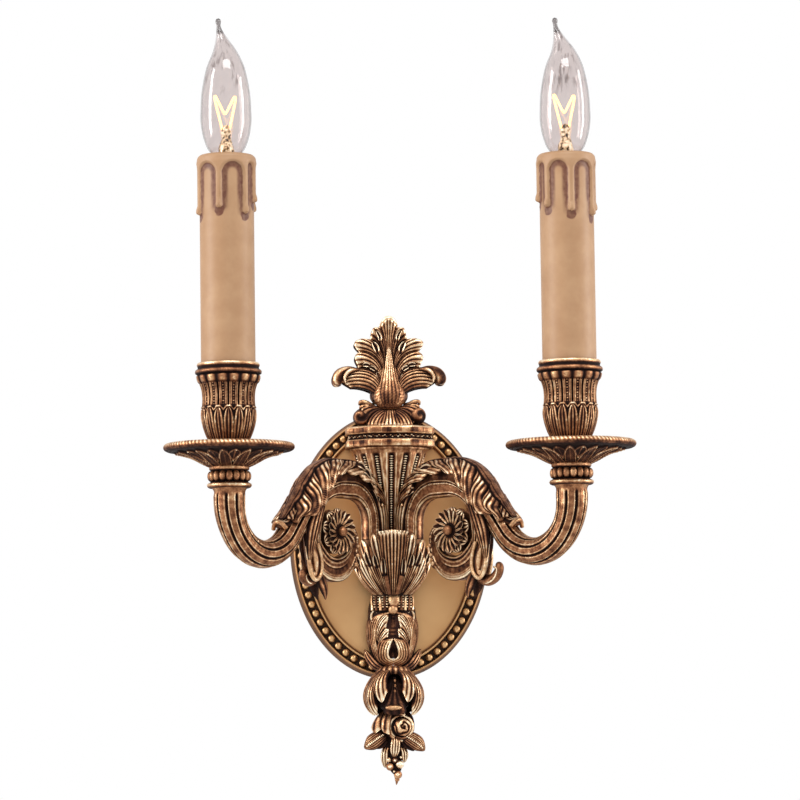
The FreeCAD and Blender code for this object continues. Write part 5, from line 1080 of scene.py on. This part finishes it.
def make_arm_leaf(side, name):
    """Acanthus leaf over the arch.  Its ribs are lines of constant (length less a lean that grows
    down the side), four to a lobe, and each lobe swells and rounds off along the lower edge."""
    n, m = 316, 76
    start, end = 20.0, 119.0
    line = path_part(ARM_CORNERS, ARM_BENDS, start, end, n)
    length = np.linspace(start, end, n)[:, None]
    v = np.linspace(-1, 1, m)[None, :]
    pitch = 13.0
    a = np.abs(v)
    lobes = (length - 20 * a ** 1.3 - 3.0 * np.sin(2.4 * pi * a) * a) / pitch
    scallop = np.sqrt(np.abs(np.sin(pi * lobes)))
    taper = (1 - 0.5 * rising(length, 100, 119)) * (1 + 0.14 * rising(-length, -62, -45))
    reach = 0.70 + 0.30 * rising(length, 60, 94)
    notch, tip = radians(80), radians(38)
    angle = v * (notch + tip * scallop) * taper * reach
    rib = np.abs(np.sin(pi * 4 * lobes)) ** 0.8
    spine = rising(0.25 - a, 0, 0.05)
    side_part = rising(a, 0.24, 0.31)
    between = np.clip(1 - 1.15 * scallop, 0, 1)
    edge = bump((a - 0.25) / 0.04)
    fine_line = bump((a - 0.12) / 0.03)
    r = (10.2 + 0.7 * spine - 0.5 * edge - 0.3 * fine_line
         + side_part * (0.85 * rib + 1.7 * scallop * rising(a, 0.3, 0.95) - 2.0 * between))
    uneven = 0.8 + 0.2 * np.sin(0.9 * length + 5 * v) * np.sin(11 * v - 0.3 * length)
    # lit is a painted highlight over the top of the arch, stronger on the left arm than the right
    lit = 1 + (0.60 if side < 0 else 0.34) * bump((length - 50) / 34)
    shade = (0.02 + 1.02 * lit * rib ** 1.15 * uneven * side_part * (1 - between) + 0.45 * spine
             - 0.45 * edge - 0.3 * fine_line + 0.2 * side_part * rising(scallop, 0.0, 0.3) * (a > 0.94))
    relief = np.clip(shade, 0, 1)
    flat = 0.62 + 0.38 * rising(length, 42, 88)
    outer = carried(line, r * np.cos(angle), flat * r * np.sin(angle))
    inner = carried(line, 8.0 * np.cos(angle), flat * 8.0 * np.sin(angle))[:, ::-1]
    leaf = Casting(side)
    leaf.add(np.concatenate([outer, inner], 1), np.hstack([relief, 0.2 + 0 * relief]))
    leaf.lobe([(89, 0, 24.5), (95.5, 0, 15.4), (100.5, 0, 10.4), (104.4, 0, 8.6), (107.2, 0, 9.0)],
              (0.5, 0.001, 1), (6.0, 6.6, 6.2, 5.8, 5.2), ribs=5, crown=0.28, depth=0.6, thick=0.5, rows=44,
              columns=50, sharp=5, peak=0.8)
    leaf.add(tube([(105.4, -5.0, 5.6), (106.8, -3.0, 8.4), (107.4, 0, 9.6), (106.8, 3.0, 8.4),
                   (105.4, 5.0, 5.6)], 1.3, (1, 0, 0), 24, 10), 0.7)
    for front in (1, -1):
        back = 0 if front > 0 else 8
        strand = [(74 - back, 7.4, 28), (80 - back, 7.8, 16), (84.5 - back, 7.6, 4), (86.5 - back, 7.2, -6),
                  (86 - back, 6.2, -14)]
        leaf.lobe([(s, front * w * (0.6 if back else 1), z) for s, w, z in strand], (0, front, 0),
                  (3.4, 4.8, 5.2, 4.6, 2.6), ribs=4, crown=0.32, depth=0.8, rows=50, columns=46, share=0.72)
    if side > 0:
        eyes = ((43.5, 6.6, 42.6, 33.0, 7.0, 43.4, 2.1), (35.0, 6.4, 37.2, 26.5, 6.8, 37.6, 2.1),
                (27.5, 6.0, 31.6, 21.5, 6.4, 28.2, 1.8))
    else:
        eyes = ((42, 7.2, 46.4, 33.0, 7.4, 43.0, 2.0), (35.5, 6.8, 43.6, 27.5, 7.0, 38.4, 2.0),
                (30.0, 6.6, 39.0, 22.6, 6.8, 32.0, 2.0), (25.4, 6.4, 33.0, 19.4, 6.4, 24.6, 1.8))
    for front in (1, -1):
        for s0, w0, z0, s1, w1, z1, wide in eyes:
            leaf.lobe([(s0, front * w0, z0), ((s0 + s1) / 2, front * (w0 + 0.8), (z0 + z1) / 2 + 0.9),
                       (s1, front * w1, z1)], (0, front, 0), (0.7 * wide, wide, 0.8 * wide), ribs=1,
                      crown=0.3, dish=0.6, depth=0, sharp=1.6, rows=26, columns=22, share=1.25)
        leaf.lobe([(21.0, front * 3.4, 33), (15.4, front * 4.0, 26), (12.6, front * 4.2, 17),
                   (12.0, front * 4.0, 8), (12.0, front * 3.4, 1.0)], (0, front, 0),
                  (3.6, 4.4, 4.2, 3.8, 3.2), ribs=4, crown=0.28, depth=0.7, rows=50, columns=44)
    leaf.settle("arm_leaf_cast_" + name, ["arm_leaf_" + name])


def make_scroll(side, name, hook):
    """Channelled band that curls in to its eye, thick where it rolls under, with a tongue and a hook."""
    scroll = Casting(side)
    n = 290
    line = path_part(SCROLL_CORNERS, SCROLL_BENDS, 0, 999, n)
    length = np.linspace(0, 176, n)[:, None]
    u = np.linspace(-1, 1, 40)[None, :]
    half = (4.7 + 0.8 * bump((length - 44) / 26) - 1.7 * rising(length, 50, 76)
            + 4.4 * rising(length, 92, 118) - 3.4 * rising(length, 136, 160))
    a = np.abs(u)
    lip = rising(a, 0.74, 0.82)
    beads, second = bump((u - 0.52) / 0.12), bump((u + 0.50) / 0.10)
    dots = 0.5 + 0.5 * np.sin(2 * pi * length / 1.9 + 2 * np.sin(0.5 * length))
    mottle = 0.5 + 0.5 * np.sin(1.3 * length + 5 * u) * np.sin(0.37 * length - 7 * u)
    step = rising(length, 95, 110) * (1 - rising(length, 138, 150))
    steps = bump((wrapped(u * 1.6 + 0.1)) / 0.16) * step
    face = (3.9 - 0.9 * (1 - lip) * (1 - 0.6 * beads - 0.4 * second) + 0.3 * dots * beads
            - 0.5 * steps) * np.sqrt(1.0001 - a ** 12)
    # crescent and the shine on the rolled part are painted highlights along the roll
    crescent = bump((u - 0.62) / 0.30) + 0.7 * bump((u + 0.12) / 0.16) + 0.4 * bump((u + 0.7) / 0.2)
    painted_roll_shine = 0.70 * crescent + 0.4 * bump((u - 0.86) / 0.12) - 0.10
    relief = np.clip(0.46 + 0.34 * lip + (0.2 + 0.5 * dots) * beads * (1 - step) + 0.4 * second
                     + 0.14 * mottle * (1 - lip) - 0.5 * bump((a - 0.68) / 0.06) * (1 - step) - 0.5 * steps
                     + step * painted_roll_shine, 0, 1)
    sides = np.linspace(0.9, -0.9, 8)[None, :]
    edge = half * (1 - 0.03 * sides ** 2)
    deep = 3.0 * sides + 0 * length
    away = np.hstack([half * u, edge, half * u[:, ::-1], -edge])
    front = np.hstack([face, deep, -face[:, ::-1], -deep])
    flank = 0.40 + 0.3 * bump(sides / 0.35) + 0 * length
    scroll.add(carried(line, away, front), np.hstack([relief, flank, relief[:, ::-1], flank]))
    eye = np.array([(0.3, 3.2), (6, 3.4), (10.0, 3.0), (11.0, 1.8), (11.3, 0), (11.0, -1.8), (10.0, -3.0),
                    (0.3, -3.2)])
    scroll.add(dome((EYE[0] + 3, 0, EYE[1] - 1), (0, 1, 0), eye, 40)[0], 0.30)
    for s, z, r in ((39.4, -13.4, 3.3), (37.8, -8.0, 3.0), (37.4, -2.4, 2.6), (38.2, 2.6, 2.2)):
        scroll.add(ball((s, 0, z), (r, 4.4, r), 20, 12), 0.45)
        scroll.add(ball((s, 2.6, z), (0.5 * r, 2.6, 0.5 * r), 14, 8), 0.8)
    for front in (1, -1):
        back = 0 if front > 0 else 7.5
        tongue = [(85.0 - back, front * 3.6, 4), (83.0 - back, front * 4.8, -4),
                  (81.6 - back, front * 5.4, -11), (80.6 - back, front * 5.6, -18),
                  (80.2 - back, front * 5.2, -24.2)]
        scroll.lobe(tongue, (0, front, 0), (3.4, 4.8, 6.0, 6.0, 5.2), ribs=1, crown=0.18, dish=0.2, depth=0,
                    thick=0.6, rows=44, columns=36)
        rim = np.array([(77.6, front * 5.4, -2), (75.2, front * 5.8, -9), (74.6, front * 6.0, -16),
                        (76.2, front * 6.0, -20.8), (80.2, front * 6.0, -23.4), (84.4, front * 6.0, -20.0),
                        (86.4, front * 5.8, -12), (87.0, front * 5.2, -4)]) - [back, 0, 0]
        scroll.add(tube(rim, 1.3, (0, 1, 0), 70, 10), 0.8)
        ridge = np.array([(82.4, front * 5.4, -6), (81.0, front * 6.2, -12),
                          (80.2, front * 6.2, -19.0)]) - [back, 0, 0]
        scroll.add(tube(ridge, lambda t: 2.0 * np.sin(pi * (0.2 + 0.7 * t)), (0, 1, 0), 44, 14), 0.8)
        scroll.lobe([(74.0, front * 1.6, -18), (71.6, front * 3.2, -24), (69.2, front * 3.6, -29.5),
                     (67.6, front * 3.0, -35)], (0, front, 0), (2.8, 3.8, 3.4, 1.6), ribs=2, crown=0.3,
                    depth=0.5, rows=30, columns=30, share=0.6)
        scroll.lobe([(73.0, front * 6.2, 28), (76.0, front * 5.4, 17), (77.2, front * 4.6, 6),
                     (76.4, front * 4.4, -5), (74.6, front * 3.8, -12)], (0, front, 0),
                    (2.6, 3.6, 3.6, 2.8, 1.6), ribs=3, crown=0.3, depth=0.9, rows=50, columns=48,
                    share=0.85)
    curl = np.array([(76.5, 0, -22.6), (81.5, 0, -24.8), (86.6, 0, -23.8), (90.2, 0, -20.8),
                     (91.4, 0, -17.0), (89.0, 0, -15.6)])
    curl = curl[0] + (curl - curl[0]) * hook
    scroll.add(tube(curl, lambda t: (3.7 - 1.1 * t) * np.sqrt(1.001 - t ** 12), (0, 1, 0), 60, 22), 0.5)
    for front in (1, -1):
        scroll.add(tube(curl + [0, front * 2.2, -1.6], lambda t: 0.7, (0, 1, 0), 44, 8), 0.95)
    scroll.settle("arm_scroll_cast_" + name, ["arm_scroll_" + name])


def make_rosette(side, name):
    """Round flower: broad scalloped petals under a ring of narrow cupped ones, and a small boss behind."""
    flower = Casting(side)

    def spot(radius, angle, front):
        return FLOWER[0] + radius * cos(angle), front, FLOWER[1] + radius * sin(angle)
    for k in range(9):
        a = 2 * pi * k / 9 + 0.2
        flower.lobe([spot(3, a, 3.2), spot(8, a, 4.2), spot(14.0, a, 3.6)], (0, 1, 0), 5.0, ribs=4,
                    crown=0.14, depth=0.55, thick=0.2, peak=0.62, rows=17, columns=32)
        flower.lobe([spot(3, a, -2.8), spot(8, a, -3.6), spot(13.4, a, -3.0)], (0, -1, 0), 4.8, ribs=4,
                    crown=0.12, depth=0.4, thick=0.12, peak=0.62, rows=16, columns=30)
    for k in range(17):
        a = 2 * pi * k / 17
        grow = 1 + 0.05 * sin(3.1 * k)
        flower.lobe([spot(2.4, a, 5.4), spot(5.6, a + 0.08, 6.4), spot(9.6 * grow, a + 0.24, 7.0),
                     spot(12.8 * grow, a + 0.36, 7.4)], (0, 1, 0), 2.05, ribs=1, crown=0.55, depth=0.0,
                    dish=1.1, thick=0.5, peak=0.62, root=0.35, rows=20, columns=18, share=0.84)
    flower.add(ball((FLOWER[0], -3.6, FLOWER[1]), (2.8, 1.8, 2.8), 20, 12), 0.7)
    back = np.array([(0.3, 1.8), (8, 1.8), (10.4, 1.2), (10.8, 0.2), (10.2, -1.4), (0.3, -1.5)])
    flower.add(dome((FLOWER[0], 4.2, FLOWER[1]), (0, 1, 0), back, 40)[0], 0.02)
    flower.settle("rosette_cast_" + name, ["rosette_" + name])


def make_rosette_screws():
    """Round heads that stand for the flowers' bosses, each on a shank through its scroll."""
    screws = Casting()
    head = np.array([(0.2, 3.0), (1.2, 2.8), (2.1, 2.2), (2.7, 1.2), (2.9, 0.2), (2.5, -0.9), (1.4, -1.4),
                     (1.3, -14.0)])
    for side in (-1, 1):
        screws.add(on_arm(dome((FLOWER[0], 7.4, FLOWER[1]), (0, 1, 0), head, 32)[0], side), 0.56)
    screws.settle("rosette_screw_heads", ["rosette_screws"])


# ---- candle stack -------------------------------------------------------------------------------
def make_beaded_collar(side, name):
    """Turned collar between two lips, with a ring of upright oval beads round its waist."""
    neck = Casting()
    profile = np.array([(9.4, 27.4), (11.4, 27.4), (12.4, 27.9), (12.9, 28.9), (12.6, 29.9), (11.4, 30.5),
                        (10.2, 31.2), (9.9, 33), (9.9, 36), (10.2, 37.2), (11.2, 37.7), (11.6, 38.4),
                        (11.5, 39.6), (11.0, 40.6), (5.3, 40.6), (5.3, 30.2), (9.4, 30.2)])
    grid, _ = lathe(profile, 60, across=side * CANDLE_SIDE, out=CANDLE_OUT)
    ring = np.array([0.1, 0.2, 0.4, 0.8, 0.8, 0.3, 0.0, 0.0, 0.0, 0.1, 0.4, 0.7, 0.6, 0.3, 0.3, 0.2,
                     0.2])[:, None]
    neck.add(grid, ring, loop=True)
    for k in range(17):
        a = 2 * pi * k / 17
        where = (side * CANDLE_SIDE + 10.5 * sin(a), CANDLE_OUT + 10.5 * cos(a), 34.2)
        neck.add(ball(where, (2.15, 2.15, 3.1), 16, 10), 0.62)
    neck.settle("beaded_collar_cast_" + name, ["beaded_collar_" + name])


def make_bobeche(side, name):
    """Drip dish: a rope rim, a hollow band, then twelve pointed leaves with a raised outline and midrib
    and smaller ones between, each drawn by its distance from its own outline."""
    dish = Casting()
    under = [(11.6, 40.8), (15.5, 42.6), (22, 46.0), (28.5, 48.0), (34.2, 48.8)]
    rim = [(35.2, 48.5), (36.8, 49.4), (37.4, 50.8), (36.9, 52.2), (35.4, 53.1), (34.0, 52.6), (33.2, 51.4)]
    over = [(30, 50.4), (25, 49.2), (19, 47.4), (15, 45.4), (11, 45.0)]
    under_rows, rim_rows = 64, 22
    profile = np.vstack([[5.3, 40.8], smooth_line(under, under_rows, 2), smooth_line(rim, rim_rows, 2),
                         smooth_line(over, 26, 2), [5.3, 45.0]])
    index = np.arange(len(profile))[:, None]
    on = index - under_rows

    def leaves(psi, r, z):
        below = (on < 1) & (index > 0)
        on_rim = (on >= -1) & (on < rim_rows + 2)
        p = np.abs(wrapped(psi * DISH_LEAVES / (2 * pi) + 0.25))
        q = np.abs(wrapped(psi * DISH_LEAVES / (2 * pi) - 0.25))
        x = np.maximum(r - 11.6, 0) / 21.0
        big = 0.50 * np.clip(1 - x / 0.98, 0, 1) ** 0.85
        small = 0.30 * np.clip(1 - np.abs((x - 0.55) / 0.36) ** 1.5, 0, 1) * (x < 0.91)
        in_big, in_small = rising(big - p, 0.0, 0.02), rising(small - q, 0.0, 0.02)
        in_small = in_small * (1 - in_big)
        outline = bump((big - p - 0.045) / 0.04) * (x < 0.95) + bump((small - q - 0.04) / 0.04) * in_small
        midrib = bump(p / 0.030) * (x < 0.86) + bump(q / 0.03) * in_small
        veins = (0.5 + 0.5 * np.cos(2 * pi * (x * 10 - p * 8))) * in_big * (1 - midrib)
        band = bump((r - 33.4) / 0.9)
        height = (0.75 * in_big + 0.5 * in_small + 0.8 * outline + 0.7 * midrib + 0.2 * veins
                  + 0.3 * band) * below
        rope = 0.5 + 0.5 * np.cos(96 * psi + on * 0.45)
        patchy = 0.75 + 0.25 * np.sin(5 * psi + 1) * np.sin(13 * psi)
        relief = (0.16 * (in_big + in_small) + (0.78 * outline + 0.72 * midrib) * patchy
                  + 0.32 * veins + 0.12 * band)
        # the rope is brighter on the rim's top rows: a painted highlight
        painted_rim_highlight = rising(on, 6, 11)
        rim_relief = (0.34 + 0.12 * painted_rim_highlight + 0.5 * rope * painted_rim_highlight) * (1 - 0.9 * bump((on - 2.5) / 2.0))
        shade = np.where(below, relief, np.where(on_rim, rim_relief, 0.45))
        return 0.3 * rope * on_rim, -height, np.clip(shade, 0, 1)
    dish.add(*lathe(profile, 360, leaves, side * CANDLE_SIDE, CANDLE_OUT), loop=True)
    dish.settle("bobeche_cast_" + name, ["bobeche_" + name])


def make_cup(side, name):
    """Candle cup in three bands of sixteen: lotus petals round the bulb, ridged panels with a bead
    column on the waist, and rounded tabs under a ringed lip."""
    cup = Casting()
    belly = smooth_line([(8.4, 45.0), (9.4, 49), (11.4, 54), (13.6, 59), (15.1, 64), (15.8, 68.5),
                         (15.5, 72), (15.0, 75), (14.8, 79), (15.2, 83.5), (16.3, 87.2), (17.3, 89.4),
                         (17.7, 91.2), (17.2, 92.5)], 116, 2)
    lip = [(18.2, 92.6), (19.0, 93.2), (19.2, 94.1), (18.9, 95.0), (18.0, 95.6), (17.5, 96.2), (17.7, 97.0),
           (18.1, 97.9), (17.9, 98.8), (17.4, 99.3), (CUP_BORE, 99.3), (CUP_BORE, 88.0), (12.9, 88.0),
           (12.9, 67.0), (10.5, 60.0), (5.3, 60.0), (5.3, 45.0)]
    profile = np.vstack([belly, lip])
    count = len(belly)
    index = np.arange(len(profile))[:, None]
    lip_relief = np.append([0.0, 0.35, 0.6, 0.5, 0.1, 0.0, 0.3, 0.75, 0.9, 0.8], 0.2 + np.zeros(7))
    lip_relief = np.append(np.zeros(count), lip_relief)[:, None]

    def bands(psi, r, z):
        shown = index < count
        turn = (psi + radians(12)) * CUP_PETALS / (2 * pi)
        p, q = wrapped(turn), wrapped(turn + 0.5)
        a = np.abs(p)
        waist = rising(z, 73.5, 75) * (1 - rising(z, 86.8, 88.0))
        groove = rising(a, 0.42, 0.48) * waist
        strip = bump(a / 0.17) * waist
        beads = bump(a / 0.13) * rising(np.cos(2 * pi * z / 1.5), -0.4, 0.7) * waist
        ridges = (bump((a - 0.22) / 0.06) + bump((a - 0.35) / 0.06)) * waist
        tab = np.sqrt(bump(a / 0.50)) * rising(z, 86.9, 88.4) * (1 - rising(z, 91.6, 92.6))
        tab = tab * (1 - rising(np.hypot(a / 0.5, np.maximum(89.6 - z, 0) / 2.9), 0.9, 1.05))
        crest = 73.6 - 9 * q * q
        arch = bump((z - crest) / 1.2) * (z > 69.0)
        wide = np.where(z > 62, 0.5 * np.sqrt(np.clip(1 - ((z - 62) / 10.8) ** 2, 0, 1)),
                        0.5 - 0.07 * rising(-z, -58, -46))
        inside = rising(wide - np.abs(q), 0.0, 0.05) * (z < 73)
        ribs = 0.5 + 0.5 * np.cos(2 * pi * 3 * q / np.maximum(2 * wide, 0.2))
        edge = bump((np.abs(q) - wide * 0.88) / 0.07) * (z < 72.8) * rising(z, 50, 58)
        low = z < 73.2
        grow = (-1.3 * groove - 0.5 * strip + 0.7 * beads + 0.35 * ridges + 1.0 * tab + 0.7 * arch
                + low * (0.75 * inside + 0.35 * ribs * inside + 0.35 * edge - 0.9))
        relief = (0.34 * waist + 0.75 * beads - 0.25 * strip + 0.5 * ridges - 0.6 * groove + 0.70 * tab
                  + 0.95 * arch
                  + low * (0.16 + 0.56 * ribs ** 2 * inside + 0.62 * edge - 0.3 * (1 - inside)))
        return grow * shown, 0 * z, np.clip(np.where(shown, relief, lip_relief), 0, 1)
    cup.add(*lathe(profile, 352, bands, side * CANDLE_SIDE, CANDLE_OUT), loop=True)
    cup.settle("candle_cup_cast_" + name, ["candle_cup_" + name])


def make_sleeve(side, name, drips):
    """Candle tube.  Wax is a cap cut away by round-topped slots, less what is under each run's round
    end, all as distances on the unrolled side; its stain is the band just outside that edge."""
    sleeve = Casting()
    heights = np.append(np.linspace(88, 168, 12), np.linspace(168.5, 217.5, 104))
    outer = np.stack([np.full(len(heights), SLEEVE_RADIUS), heights], 1)
    top = [(15.4, 218.6), (14.6, 219.3), (13.4, SLEEVE_TOP), (9.6, SLEEVE_TOP), (9.5, 219.2), (9.5, 217.2),
           (SLEEVE_INSIDE, 215.1), (SLEEVE_INSIDE, 88.0)]
    profile = np.vstack([outer, top])
    count = len(outer)
    index = np.arange(len(profile))[:, None]

    def wax(psi, r, z):
        wobble = 0.30 * np.sin(0.83 * z + 3 * psi) + 0.16 * np.sin(1.9 * z - 9 * psi)
        runs, arches = [], []

        def beside(angle):
            """Distance round the side from an angle."""
            return WAX_RADIUS * wrapped((psi - radians(angle)) / (2 * pi)) * 2 * pi
        order = sorted(drips)
        for (angle, length), (after, _) in zip(order, order[1:] + [(order[0][0] + 360, 0)]):
            end = SLEEVE_TOP - length + 3.0
            width = 2.2 + 0.65 * np.exp(-((z - end) / 3.2) ** 2)
            runs.append(np.hypot(beside(angle), np.maximum(end - z, 0)) - width)
            half = WAX_RADIUS * radians(after - angle) / 2 - 2.2
            arches.append(half - np.hypot(beside((angle + after) / 2), np.maximum(z - (213.6 - half), 0)))
        gap = np.where(z > 200, np.max(arches, 0), np.maximum(np.max(arches, 0), np.min(runs, 0)))
        body = rising(-gap, -0.4, 1.5)
        dried = 1 - 0.4 * rising(gap + wobble, 1.0, 2.2) - 0.6 * rising(gap, 2.0, 4.6)
        stain = rising(gap + 0.3 * wobble, -0.6, 0.2) * dried
        tips = [np.hypot(beside(angle), z - (SLEEVE_TOP - length) + 0.6) for angle, length in drips]
        below = np.min(tips, 0)
        stain = np.maximum(stain * (0.45 + 0.55 * rising(z, 184, 200)),
                           (1 - rising(below + wobble, 2.4, 3.8)) * (gap > -0.2))
        shown = index < count
        stain = np.where(shown, stain * (z < 218), 0.15)
        fade = 1 - 0.25 * rising(z, 214, 217.5)
        bead = np.max([bump(np.hypot(beside(angle), 0.8 * (z - (222.3 - length))) / 3.2)
                       for angle, length in drips], 0)
        grow = (1.75 * body * fade + 0.9 * bead * body) * shown + 0.9 * (index >= count) * (r > 12)
        return grow, 0 * z, np.clip(stain, 0, 1)
    sleeve.add(*lathe(profile, 228, wax, side * CANDLE_SIDE, CANDLE_OUT), loop=True)
    sleeve.settle("candle_sleeve_wax_" + name, ["candle_sleeve_" + name], TAN, "candle_tan")


def make_bulb(side, name, bend):
    """Flame-shaped envelope with a drawn, balled tip that leans to one side: two walls joined at the neck."""
    rows = np.array([(5.5, 201.2), (5.5, 213.2), (5.9, 216.0), (7.8, 219.4), (11.0, 223.9), (13.3, 230.4),
                     (14.6, 238), (14.7, 244.5), (13.9, 256.9), (11.2, 270.4), (7.0, 280.4), (3.9, 287.0),
                     (2.0, 292.0), (1.2, 295.2), (1.35, 296.6), (1.65, 298.0), (1.3, 299.3),
                     (0.3, BULB_TIP)])
    outer = smooth_line(rows, 96, 2)
    slope = unit(np.gradient(outer, axis=0))
    wall = 0.6
    inner = outer - wall * np.stack([slope[:, 1], -slope[:, 0]], 1)
    inner = inner[(inner[:, 1] < 293) & (inner[:, 0] > 0.2)]
    profile = np.vstack([inner[::-1], outer])
    grid, _ = lathe(profile, 72, across=side * CANDLE_SIDE, out=CANDLE_OUT)
    lean = bend * rising(grid[..., 2], 276, 298) ** 1.2
    grid = grid + np.stack([lean, 0 * lean, 0 * lean], -1)
    envelope = Casting()
    high = grid[..., 2]
    # relief marks where the glass gets painted dark reflections: streaks above 250 and the drawn tip above
    # 288
    envelope.add(grid, 0.6 * rising(high, 250, 266) + 0.4 * rising(high, 288, 294))
    envelope.settle("bulb_glass_envelope_" + name, ["bulb_glass_" + name], GLASS, "bulb_clear",
                    "bulb_" + name)


def make_stem(side, name):
    """Glass stem flared at the foot, pinched and lumpy where the wires are sealed in."""
    stem = Casting()
    rows = smooth_line([(0.5, 199.6), (3.4, 199.8), (4.3, 206), (4.5, 219), (4.4, 223.5), (3.4, 227),
                        (2.5, 230), (3.0, 233), (2.2, 236), (1.0, 237.2), (0.4, 237.4)], 48, 2)

    def lumps(psi, r, z):
        return 0.35 * np.sin(3 * psi + z) * np.sin(1.9 * z) * rising(z, 218, 222), 0 * z, 0.6
    stem.add(*lathe(rows, 30, lumps, side * CANDLE_SIDE, CANDLE_OUT))
    stem.settle("bulb_stem_" + name, ["bulb_mount_" + name], STEM, "bulb_clear", "bulb_" + name)


def make_filament(side, name):
    """Hairpin wire bent to an M, with two fine supports rising from the stem."""
    wire = Casting()
    x0 = side * CANDLE_SIDE
    points = [(-1.6, 232.0), (-3.0, 238), (-5.4, 248), (-6.5, 253.4), (-6.0, 254.4), (-4.6, 251.6),
              (-1.4, 245.0), (-0.5, 244.0), (0.5, 245.2), (3.6, 251.4), (4.9, 253.8), (5.6, 253.0),
              (4.8, 248), (2.8, 239), (1.6, 232.0)]
    wire.add(tube([(x0 + x, CANDLE_OUT, z) for x, z in points], 0.60, (0, 1, 0), 120, 10), 0.9)
    wire.settle("filament_wire_" + name, ["filament_" + name], GLOW, "filament_wire", "bulb_" + name)


def dress_cad():
    """Materials on the CAD nodes that stay."""
    finishes = {"crossbar": ZINC, "ground_screw": ZINC, "rim_screws": MACHINED, "body_screws": ZINC,
                "hub": BRONZED, "hub_nipple": ZINC, "hub_nut": ZINC, "tie_rod": ZINC, "drop_stud": ZINC,
                "arm_nipples": ZINC, "nipple_nuts": ZINC, "socket_legs": ZINC, "socket_body": BAKELITE,
                "socket_shell": NICKEL, "socket_contacts": MACHINED, "bulb_base": NICKEL,
                "bulb_contact": NICKEL, "lead": VINYL, "wire_connectors": NUT_PLASTIC}
    for node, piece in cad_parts.items():
        stem = node.replace("_left", "").replace("_right", "")
        if stem in finishes:
            piece.data.materials.clear()
            piece.data.materials.append(finishes[stem])


make_backplate()
make_urn()
make_cap()
make_collar()
make_finial()
make_calyx()
make_bracket()
make_ball_drop()
make_rose()
make_tail()
make_rosette_screws()
# angle round the sleeve and length of each wax run
LEFT_DRIPS = ((-16.6, 33), (41, 36), (72, 29), (-74, 36), (112, 33), (160, 38), (-160, 35), (-116, 34))
RIGHT_DRIPS = ((4, 36), (58, 38), (-49, 33), (-86, 29), (98, 34), (142, 39), (-172, 35), (-128, 32))
for side, name, drips, bend, hook in ((-1, "left", LEFT_DRIPS, -4.0, 0.55),
                                      (1, "right", RIGHT_DRIPS, -5.0, 1.0)):
    make_arm_tube(side, name)
    make_arm_root(side, name)
    make_arm_leaf(side, name)
    make_scroll(side, name, hook)
    make_rosette(side, name)
    make_beaded_collar(side, name)
    make_bobeche(side, name)
    make_cup(side, name)
    make_sleeve(side, name, drips)
    make_bulb(side, name, bend)
    make_stem(side, name)
    make_filament(side, name)
dress_cad()


# ---- floor, light and camera, in metres ---------------------------------------------------------
def looked_at(tree):
    """1 where the camera, a reflection or a refraction sees it, 0 for the light it gives."""
    path = tree.nodes.new("ShaderNodeLightPath")
    total = None
    for ray in ("Is Camera Ray", "Is Glossy Ray", "Is Transmission Ray"):
        if total is None:
            total = path.outputs[ray]
        else:
            larger = tree.nodes.new("ShaderNodeMath")
            larger.operation = "MAXIMUM"
            tree.links.new(total, larger.inputs[0])
            tree.links.new(path.outputs[ray], larger.inputs[1])
            total = larger.outputs[0]
    return total


def make_world():
    """White to look at, and a dimmer grey as a light."""
    world = bpy.data.worlds.new("studio")
    bpy.context.scene.world = world
    world.use_nodes = True
    tree = world.node_tree
    seen = looked_at(tree)
    back = tree.nodes["Background"]
    mix = tree.nodes.new("ShaderNodeMix")
    mix.data_type = "RGBA"
    tree.links.new(seen, mix.inputs[0])
    grey, white = (0.55, 0.55, 0.56, 1), (1, 1, 1, 1)
    mix.inputs[6].default_value, mix.inputs[7].default_value = grey, white
    tree.links.new(mix.outputs[2], back.inputs["Color"])
    back.inputs["Strength"].default_value = 1.0


def make_floor():
    """Pale floor well below the sconce."""
    size, z = 4.0, -0.75
    mesh = bpy.data.meshes.new("studio_floor")
    mesh.from_pydata([(-size, -size, z), (size, -size, z), (size, size, z), (-size, size, z)], [],
                     [(0, 1, 2, 3)])
    floor = bpy.data.objects.new("studio_floor", mesh)
    bpy.context.scene.collection.objects.link(floor)
    finish = Finish("pale_floor", Base_Color=(0.9, 0.9, 0.89, 1), Roughness=0.8)
    mesh.materials.append(finish.material)


def lamp(name, place, aim, size, watts):
    """White rectangular lamp turned from its place to what it aims at."""
    light = bpy.data.lights.new(name, "AREA")
    light.shape, light.size, light.size_y = "RECTANGLE", size[0], size[1]
    light.energy = watts
    thing = bpy.data.objects.new(name, light)
    thing.location = place
    thing.rotation_euler = (Vector(aim) - Vector(place)).to_track_quat("-Z", "Y").to_euler()
    bpy.context.scene.collection.objects.link(thing)


def make_camera():
    """Camera a little to the left and below, looking at the middle of the sconce."""
    turn, climb, roll = radians(3.26), radians(5.14), radians(-0.78)
    forward = Vector((sin(turn) * cos(climb), cos(turn) * cos(climb), sin(climb)))
    level = Vector((cos(turn), -sin(turn), 0))
    upright = level.cross(forward)
    right = level * cos(roll) + upright * sin(roll)
    up = upright * cos(roll) - level * sin(roll)
    aim, distance = Vector((0.0051, -0.050, 0.0852)), 2.1
    camera = bpy.data.objects.new("camera", bpy.data.cameras.new("camera"))
    camera.data.lens, camera.data.sensor_width = 157.5, 36.0
    camera.matrix_world = Matrix((right, up, -forward)).transposed().to_4x4()
    camera.matrix_world.translation = aim - forward * distance
    bpy.context.scene.collection.objects.link(camera)
    bpy.context.scene.camera = camera


bpy.context.scene.view_settings.view_transform = "Standard"
make_world()
make_floor()
lamp("key_left", (-1.9, -0.5, 0.6), (0, 0, 0.05), (0.5, 1.6), 24)
lamp("fill_right", (1.9, -0.3, 0.4), (0, 0, 0.05), (0.4, 1.6), 18)
lamp("top", (0.1, -1.5, 1.8), (0, 0, 0), (1.4, 0.6), 22)
make_camera()
